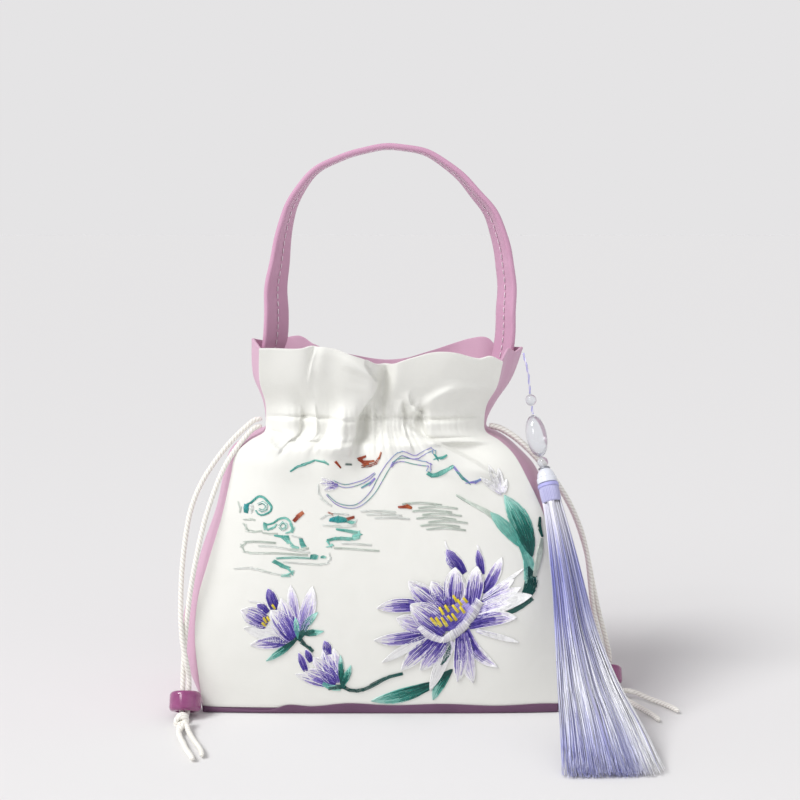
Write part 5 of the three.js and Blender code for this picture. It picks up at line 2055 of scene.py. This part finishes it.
STEMS = Motif("stems_and_leaves", (
    Band(((469, 622.5), (480, 618.5), (508, 613.1), (520, 607), (531.9, 597)), (1.4, 3, 6), DARK_TEAL),
    Petal((440, 681), (371, 701), 14, TEAL, 3),
    Petal((452.5, 669), (433, 700), 12, TEAL, -3),
    Band(((370, 685.5), (385, 678), (403, 673.4)), (2.4, 2.4, 2.4), DARK_TEAL),
    Band(((456, 494.8), (470, 503), (485, 510.5), (497, 519)), (1.2, 3, 6), SAGE),
    Petal((522, 548), (490, 512), 13, LIGHT_TEAL, -1),
    Band(((521, 545), (527, 556), (529.5, 568), (530, 580)), (5, 10, 12), LIGHT_TEAL),
    Petal((532, 557), (504, 495), 21, TEAL, -4),
    Band(((527, 566), (531.5, 578), (530, 588), (525, 597)), (3, 14, 9), DARK_TEAL),
    Band(((525, 560), (526, 572), (526, 584)), (2, 4, 1), LIGHT_TEAL),
    Band(((541.5, 538), (540.5, 548), (537.5, 562), (534, 577)), (2, 6, 3), SAGE),
    Band(((539.7, 516.7), (539.2, 527), (542.3, 537)), (1.5, 3, 1.5), DARK_TEAL),
    Petal((501, 494), (488, 465), 6, WHITE), Petal((502, 494), (480, 477), 6, WHITE),
    Petal((502, 493), (498, 468), 6, WHITE), Petal((503, 493), (506, 479), 5, WHITE),
))
LEFT_LOTUS = Motif("left_lotus", (
    Petal((293, 639), (243.5, 628), 14, WHITE),
    Petal((292, 640), (250, 645), 12, PURPLE),
    Petal((268, 624), (241, 610), 18, PURPLE),
    Petal((268, 613), (257, 604), 10, DEEP),
    Band(((248.7, 601), (257, 602), (264, 603)), (1, 1.6, 1), WHITE),
    Petal((276, 611), (268, 588), 11, DEEP),
    Petal((296, 630), (290.5, 585), 11, LILAC),
    Petal((299, 634), (312.5, 586), 14, LILAC, -2),
    Petal((299, 637), (318, 612), 8, TEAL, 2), Petal((300, 634), (324, 631), 7, TEAL),
    Petal((294, 639), (271, 610), 20, PURPLE), Petal((295, 638), (281, 598), 16, PURPLE, 1),
    Petal((298, 638), (266, 661), 7, TEAL, 1), Petal((298, 639), (295.4, 617), 6, LIGHT_TEAL),
    Band(((297, 640), (301, 634), (305, 630)), (6, 7, 3), DARK_TEAL),
    Band(((299, 637), (302, 643), (308, 646), (313.5, 651.5)), (3, 3, 2.4), DARK_TEAL),
    *(Band((start, end), (1.6, 2.4, 1.6), YELLOW) for start, end in (
        ((272, 604), (275.5, 609)), ((263.5, 617), (267, 623)), ((262, 622), (266, 626)),
        ((267, 616), (270, 621)))),
))
BUD = Motif("lotus_bud", (
    Petal((336, 684), (295, 674), 10, PURPLE, 1), Petal((336.8, 683), (333.5, 648), 13, LILAC),
    Petal((336, 683), (323, 649), 14, PURPLE), Petal((336, 683), (313, 657), 15, PURPLE),
    Petal((336, 683), (303, 670), 13, PURPLE), Petal((329.6, 655), (324.4, 640), 9, DEEP),
    Petal((311.5, 662), (305.8, 649), 7, DEEP), Petal((306.3, 671.5), (298.6, 652), 7, DEEP),
    Band(((322, 683), (330, 687), (341, 688)), (3, 5, 4), LIGHT_TEAL),
    Petal((341.5, 686), (340.5, 655), 6, TEAL), Petal((342.5, 687), (351, 665), 7, TEAL),
    Band(((336, 686), (341, 684), (346, 688)), (3, 5, 3), DARK_TEAL),
    Band(((327.9, 688.4), (336, 687.5), (342, 686), (349, 689.8), (359, 690.6), (374.4, 684.5),
          (388, 676.7), (402.8, 673.3)), (2.4, 2.8, 2.2), DARK_TEAL),
))
RIBBONS = Motif("ribbons", (
    Band(((290, 471.6), (297, 466.4), (306, 464), (315, 460)), (1, 2.2, 1.2), CLOUD),
    Band(((315, 460), (323, 460.7), (329, 464.7)), (1.2, 2, 1), LIGHT_TEAL),
    Petal((337, 486), (321, 478), 5, LILAC), Petal((338, 485), (320, 483), 4, PURPLE),
    Petal((338, 485), (324, 490), 5, LILAC), Petal((336, 484), (326, 480), 3, PURPLE),
    Band(((333, 481.5), (344, 486), (354, 484.5), (366, 480), (375, 473)), (2.5, 3.5, 1.5), None,
         False, RIBBON),
    Band(((361, 488), (369, 485), (375, 478)), (1.2, 2, 1.2), RIBBON),
    Band(((318, 484), (320, 497), (332, 506)), (1, 1.6, 1), MIST),
    Band(((326.7, 494), (336, 503), (347, 506.6), (356.6, 506), (365.8, 499.7), (373.8, 490.5),
          (380.7, 478), (388.7, 465), (396.8, 456), (401.5, 453), (410, 456), (416, 457.5), (423, 453),
          (430.6, 449.7), (433.6, 448.5), (434, 454)), (1.2, 5.5, 3), None, True, RIBBON),
    Band(((434, 454), (433, 458), (438, 460), (447, 455)), (2, 3, 1.2), CLOUD),
    Band(((391, 467), (394, 462), (401.5, 459.5), (411, 461), (421, 463), (430.6, 465), (428, 472)),
         (1.5, 5, 3.5), None, True, RIBBON),
    Band(((427, 472.7), (433, 475.8), (442.7, 472), (453.6, 466)), (3, 4.5, 2), LIGHT_TEAL, True,
         CLOUD),
    Band(((453, 466), (456, 470), (462, 477.6), (467, 483), (473, 483.6), (481.5, 478.8)),
         (1.6, 2.2, 1.4), RIBBON),
    Band(((335.3, 461.2), (337.5, 465), (341, 468)), (2.2, 3.5, 1), RUSSET),
    Band(((345, 464.2), (348, 465.4), (352, 464.4)), (1.2, 1.6, 1), DARK_TEAL),
    Band(((357.7, 459.5), (361, 456.5), (366, 456.2)), (3, 4, 1.5), RUSSET),
    Band(((359, 459), (363, 464.5), (369, 463)), (3.5, 5, 2), RUSSET),
    Band(((362, 461.5), (369, 462), (374.5, 460.8)), (1.5, 2.2, 1), RUSSET),
    Band(((361, 466.5), (370, 466), (377, 463), (381.3, 452)), (1.8, 1.6, 1), RUSSET),
), 0.008)
CLOUDS = Motif("clouds_and_water", (
    Band(((245.2, 505.4), (251, 502.6), (255.6, 498.6), (259, 496.3), (263.6, 497.4), (268.2, 502),
          (271.6, 506.6), (270.5, 511.2), (265.9, 514), (261.3, 515.2), (257.8, 513.5), (255.6, 510)),
         (2.2, 2.6, 1.4), CLOUD, True),
    Band(((257.8, 504.3), (262.4, 502), (267, 505.4), (265.9, 510), (261.3, 511.2), (258.4, 508.9)),
         (1.6, 2.6, 1.6), MIST, True, CLOUD),
    Band(((246.5, 504), (246.2, 508), (246, 513)), (5, 6, 4.5), POOL, True),
    Band(((251, 504), (252, 508), (250.5, 513)), (3, 5, 3), MIST, True),
    Band(((238, 501), (241, 506), (240, 513)), (1, 1.4, 1), SAGE),
    Band(((265.9, 525), (273.9, 522.7), (278.5, 519.2), (285.4, 518), (290, 521.5), (292.3, 527.3),
          (290, 531.9), (285.4, 533)), (1.6, 2.4, 1.6), LIGHT_TEAL, True),
    Band(((279, 526), (283, 521.8), (287.6, 526), (283, 530.2), (279, 526.4)), (1.4, 2, 1.4), MIST, True,
         LIGHT_TEAL),
    Band(((265.5, 522.5), (265, 526), (266, 530)), (4, 4.5, 4), LIGHT_TEAL, True),
    Band(((267, 530), (273.9, 528), (277, 524)), (1.4, 2, 1.2), LIGHT_TEAL),
    Band(((290, 523), (294, 528), (292, 533)), (1.4, 2.4, 1.2), LIGHT_TEAL),
    Band(((243, 519.2), (246.4, 518), (255.6, 520.4)), (1, 1.6, 1), SAGE),
    Band(((243, 522.7), (245.2, 530.7), (254.4, 531.9), (262.4, 530.7)), (1, 1.4, 1), SAGE),
    Band(((246, 524), (248, 528), (246, 529)), (1, 1.4, 1), SAGE),
    Band(((262, 532.5), (270, 534), (278, 533.5)), (1, 1.6, 1.2), SAGE),
    Band(((273.9, 535.3), (283, 535.9), (287.7, 538.7), (287.7, 543.3), (292.3, 546.8), (299.2, 547.9)),
         (1.2, 2.6, 1.4), LIGHT_TEAL),
    Band(((286.5, 535), (287.5, 540), (289, 543.5)), (4.5, 5.5, 4), LIGHT_TEAL, True),
    Band(((300.5, 538), (302, 543), (304, 547.5)), (3.5, 5, 6), CLOUD, True),
    Band(((291, 535), (298, 536.5), (303, 539)), (1, 1.6, 1), MIST),
    Band(((290, 549.4), (300, 549.8), (309, 548)), (1, 1.4, 1), SAGE),
    Band(((276.2, 543), (250, 541.5), (241, 543.5), (240.6, 548), (244, 552), (257.9, 553), (276, 553),
          (308, 555)), (1.2, 1.4, 1.2), SAGE),
    Band(((258, 545.8), (276.2, 546.6), (292.3, 549.9), (310, 552.5)), (1, 1.4, 1), MIST),
    Band(((310, 557), (314, 556.8), (318, 557.4)), (4.5, 6, 4.5), CLOUD, True),
    Band(((320.5, 557.4), (323.3, 556.8), (326, 557.4)), (2, 3.4, 2), LIGHT_TEAL, True),
    Band(((276, 558.3), (295, 557.4), (311, 558.3)), (1, 1.4, 1), LIGHT_TEAL),
    Band(((272.8, 560.6), (276.2, 564), (283, 565.7), (292.3, 569.7), (294.6, 573.2), (290, 575.5),
          (280.8, 575.5)), (3.5, 2.6, 2), LIGHT_TEAL),
    Band(((283, 561.7), (315, 564), (328, 564), (331.3, 558.3), (329, 552.5)), (1, 1.4, 1), MIST),
    Band(((233.7, 568.6), (255.6, 568), (262.4, 570.9), (276.2, 573.8), (285.4, 575.5)), (1, 1.6, 1), MIST),
    Band(((320, 519.2), (327.9, 513.5), (338.2, 513), (349, 514.5)), (1, 1.4, 1), MIST),
    Band(((356.6, 519.2), (357, 525), (342.8, 526), (322, 525)), (1, 1.4, 1), MIST),
    Band(((329, 520), (338.2, 519.4), (347.4, 520.4)), (3, 8, 4), POOL, True),
    Band(((347, 521.5), (352, 522.5), (356, 522)), (2, 4, 2), LIGHT_TEAL, True),
    Band(((335.9, 529), (347.4, 530.7), (358.9, 533)), (1.4, 2.4, 3), LIGHT_TEAL),
    Band(((352, 536.4), (358, 537.4), (361.2, 533), (359, 531)), (3, 4.5, 2), LIGHT_TEAL),
    Band(((326.7, 540.4), (338.2, 538), (352, 539.2), (360, 537)), (2, 3, 2), LIGHT_TEAL),
    Band(((327.5, 541), (326.6, 545), (330.2, 547.5), (333.2, 544.5)), (3, 4, 2.6), LIGHT_TEAL),
    Band(((333.6, 547.9), (349.7, 548.5), (379.5, 550.8)), (1, 1.6, 1), SAGE),
    Band(((341, 543), (356, 543.6), (372, 545)), (1, 1.2, 1), MIST),
    Band(((293.4, 521.5), (298, 516), (303.4, 512)), (3, 4, 3), RUSSET),
    Band(((327.9, 512.3), (333.6, 514.6)), (1, 1.2, 1), RUSSET),
    Band(((346.3, 519.2), (350, 517.5), (354.5, 516.8)), (2.5, 3.5, 2), RUSSET),
    Band(((398, 507), (405, 505.5), (412, 508)), (1.5, 4.5, 2), RUSSET),
    *(Band(((416 + step, 504 + 3.6 * row), (436 + step, 502.5 + 3.6 * row), (456 + step, 505 + 3.6 * row)),
           (1, 1.6, 1), SAGE) for row, step in enumerate((-14, 2, -4, 6, 0, 12, 4, 10))),
    *(Band(((360 + step, 511 + 3.4 * row), (380 + step, 510.5 + 3.4 * row), (396 + step, 512 + 3.4 * row)),
           (1, 1.4, 1), MIST) for row, step in enumerate((0, 6, 14))),
), 0.004)
MOTIFS = (CLOUDS, RIBBONS, STEMS, BIG_LOTUS, LEFT_LOTUS, BUD)


class Run(NamedTuple):
    """Stitches in pixels: their starts and ends, colours, and lifts off the cloth."""

    starts: Values
    ends: Values
    colours: Values
    lifts: Values


def joined(*runs: Run) -> Run:
    """Several runs of stitches as one."""
    return Run(*(np.concatenate(column) for column in zip(*runs)))


@dataclass
class Embroidery:
    """Silk floss on the front panel, laid stitch by stitch as the camera sees it."""

    viewpoint: Viewpoint
    cloth: Object
    spacing_px: float = 0.72
    stitch_px: float = 7.5
    floss_width: float = 0.5 * MM
    shortest: float = 0.2 * MM
    first_lift: float = 0.2 * MM
    highest_lift: float = 1.4 * MM
    scatter: float = 0.08 * MM
    outline_rise: float = 0.05 * MM
    edge_rise: float = 0.08 * MM
    silk: Thread = Thread("silk floss", 0.4, 0.06, 3, 0.4)

    def __post_init__(self) -> None:
        """Readies the cloth for rays, and the random shifts of the stitches."""
        self.random = np.random.default_rng(11)
        self.tree = BVHTree.FromObject(self.cloth, bpy.context.evaluated_depsgraph_get())

    def shaded(self, shade: Shade, share: Values) -> Values:
        """Reads colours off a run of floss, with each stitch a little off.

        Args:
            shade: The run.
            share: A share of it for each stitch.

        Returns:
            A colour for each stitch.
        """
        tones = shade.colours()
        streak = self.random.choice((0.0, 0.16, -0.14), share.shape, p=(0.7, 0.15, 0.15))
        moved = np.clip(share + streak + self.random.normal(0, 0.06, share.shape), 0, 1)
        colours = read_columns(moved * (len(tones) - 1), np.arange(len(tones)), tones)
        return np.clip(colours * self.random.normal(1, 0.07, share.shape)[:, None], 0, 1)

    def petal_run(self, petal: Petal, lift: float) -> Run:
        """Fills a petal with long and short stitches, with a pale line round its edge.

        Args:
            petal: The petal, or a leaf, which has no pale line.
            lift: How far its stitches stand off the cloth.

        Returns:
            Its stitches.
        """
        root, tip = np.array(petal.root_px, float), np.array(petal.tip_px, float)
        length = np.linalg.norm(tip - root)
        way = (tip - root) / length
        aside = np.array([way[1], -way[0]])
        is_leaf = petal.shade in (TEAL, LIGHT_TEAL, SAGE)
        base = 0.0 if is_leaf else 0.55

        def spot(along: Values, side: Values) -> Values:
            """Places pixels in the petal.

            Args:
                along: Shares of its length.
                side: Shares of its half width.

            Returns:
                The pixels.
            """
            breadth = 1.71 * along**0.6 * (1 - along**3) + base * (1 - along) ** 3
            breadth = breadth * petal.width_px / 2
            bow = petal.bow_px * 4 * along * (1 - along)
            return root + way * (along * length)[:, None] + aside * (side * breadth + bow)[:, None]

        columns = max(3, round(petal.width_px / self.spacing_px))
        rows = max(2, round(length / self.stitch_px))
        starts, ends, sides, streaks = [], [], [], []
        for side in np.linspace(-0.93, 0.93, columns):
            breaks = (np.arange(rows + 1) + self.random.uniform(-0.35, 0.35, rows + 1)) / rows
            breaks[0], breaks[-1] = self.random.uniform(0.0, 0.05), self.random.uniform(0.93, 0.995)
            starts.append(np.maximum(breaks[:-1] - 0.02, 0.001))
            ends.append(np.minimum(breaks[1:] + 0.04, 0.998))
            sides.append(np.full(rows, side))
            streaks.append(np.full(rows, self.random.choice((0.0, 0.3, -0.12), p=(0.5, 0.32, 0.18))))
        start, end, side, streak = (np.concatenate(values) for values in (starts, ends, sides, streaks))
        drift = self.random.normal(0, 0.02, len(side))
        pale = 0.12 * np.abs(side) ** 3
        share = ((start + end) / 2) ** 1.25 + pale + streak * (1 - 0.6 * is_leaf)
        fill = Run(spot(start, side), spot(end, side + drift), self.shaded(petal.shade, share),
                   lift + self.random.uniform(0, self.scatter, len(side)))
        edge = np.linspace(0.12, 1.0, max(5, round(length / 3.2)))
        first, second = np.tile(edge[:-1], 2), np.tile(edge[1:], 2)
        border = np.repeat([1.0, -1.0], len(edge) - 1)
        tone = self.shaded(WHITE, 0.5 + 0.5 * first)
        if is_leaf:
            return fill
        outline = Run(spot(first, border), spot(np.minimum(second + 0.01, 1), border), tone,
                      np.full(len(first), lift + self.outline_rise))
        return joined(fill, outline)

    def band_run(self, band: Band, lift: float) -> Run:
        """Lays stitches across or along a band.

        Args:
            band: The band.
            lift: How far its stitches stand off the cloth.

        Returns:
            Its stitches.
        """
        is_bent = len(band.route_px) > 2
        line = smooth_path(band.route_px, 80) if is_bent else np.linspace(*band.route_px, 80)
        run = run_length(line)
        shares = run / run[-1]
        way = unit(np.gradient(line, axis=0))
        aside = np.column_stack([way[:, 1], -way[:, 0]])

        def spot(along: Values, side: Values) -> Values:
            """Pixels at shares of the band's length and half width."""
            width = np.interp(along, (0, 0.5, 1), band.width_px)
            middle, off = (read_columns(along, shares, rows) for rows in (line, aside))
            return middle + off * (side * width / 2)[:, None]

        if band.shade is None:
            return self.edge_run(band, run[-1], spot, lift)
        if band.is_across:
            count = max(3, round(run[-1] / self.spacing_px))
            along = np.linspace(0, 1, count)
            slant = min(0.12, 1.2 / run[-1])
            ragged = self.random.uniform(0.88, 1.06, (2, count))
            fill = Run(spot(np.clip(along - slant, 0, 1), -ragged[0]),
                       spot(np.clip(along + slant, 0, 1), ragged[1]),
                       self.shaded(band.shade, along), np.full(count, lift))
            if band.edges is None:
                return fill
            return joined(fill, self.edge_run(band, run[-1], spot, lift))
        columns = max(1, round(max(band.width_px) / self.spacing_px))
        rows = max(1, round(run[-1] / self.stitch_px))
        side = np.repeat(np.linspace(-1, 1, columns) if columns > 1 else [0.0], rows)
        start = np.tile(np.arange(rows) / rows, columns)
        start = start + self.random.uniform(-0.3, 0.1, len(start)) / rows * (start > 0)
        end = np.clip(start + 1.5 / rows, 0, 1)
        return Run(spot(start, side), spot(end, side), self.shaded(band.shade, (start + end) / 2),
                   np.full(len(side), lift))

    def edge_run(self, band: Band, length: float, spot: Callable[[Values, Values], Values],
                 lift: float) -> Run:
        """Lays a line of stitches down each edge of a band.

        Args:
            band: The band.
            length: Its length in pixels.
            spot: Gives pixels from shares along the band and places across it.
            lift: How far the band stands off the cloth.

        Returns:
            The stitches of both edges.
        """
        steps = np.linspace(0, 1, max(4, round(length / 4)))
        start, end = np.tile(steps[:-1], 2), np.tile(np.minimum(steps[1:] + 0.3 / len(steps), 1), 2)
        side = np.repeat((1.0, -1.0), len(steps) - 1)
        colours = self.shaded(band.edges, (start + 0.3 * (side > 0)) % 1)
        return Run(spot(start, side), spot(end, side), colours,
                   np.full(len(side), lift + self.edge_rise))

    def on_cloth(self, pixels: Values) -> tuple[Values, Values, Values]:
        """Finds the cloth behind pixels.

        Args:
            pixels: The pixels, one row each.

        Returns:
            Places on the cloth, ways out of it, and whether it was found.
        """
        origin = Vector(self.viewpoint.place)
        places, normals = np.zeros((2, len(pixels), 3))
        found = np.zeros(len(pixels), bool)
        for index, ray in enumerate(self.viewpoint.rays(pixels)):
            place, normal, _, _ = self.tree.ray_cast(origin, Vector(ray))
            if place is not None:
                towards = -1 if normal.dot(Vector(ray)) > 0 else 1
                places[index], normals[index], found[index] = place, normal * towards, True
        return places, normals, found

    def build(self) -> None:
        """Lays each motif as a piece of its own."""
        silk = self.silk.material()
        for motif in MOTIFS:
            runs = []
            for order, part in enumerate(motif.parts):
                lift = min(self.first_lift + order * motif.layer_mm * MM, self.highest_lift)
                lay = self.petal_run if isinstance(part, Petal) else self.band_run
                runs.append(lay(part, lift))
            whole = joined(*runs)
            starts, normals, has_start = self.on_cloth(whole.starts)
            ends, _, has_end = self.on_cloth(whole.ends)
            is_long = np.linalg.norm(ends - starts, axis=1) > self.shortest
            kept = has_start & has_end & is_long
            mesh = stitch_mesh(starts[kept], ends[kept], normals[kept], self.floss_width,
                               whole.lifts[kept], whole.colours[kept])
            add_piece(f"embroidered_{motif.name}", mesh, silk, "white_satin")
            log.info("%s has %d stitches", motif.name, int(kept.sum()))


def main() -> None:
    """Builds the purse in order."""
    logging.basicConfig(level=logging.INFO, format="%(name)s: %(message)s")
    viewpoint = Viewpoint()
    viewpoint.add_camera()
    Drawstring().build()
    front = ClothBody().build()
    StrapHandle().build()
    Tassel().build()
    Embroidery(viewpoint, front).build()
    Studio().build()


if __name__ == "__main__":
    main()
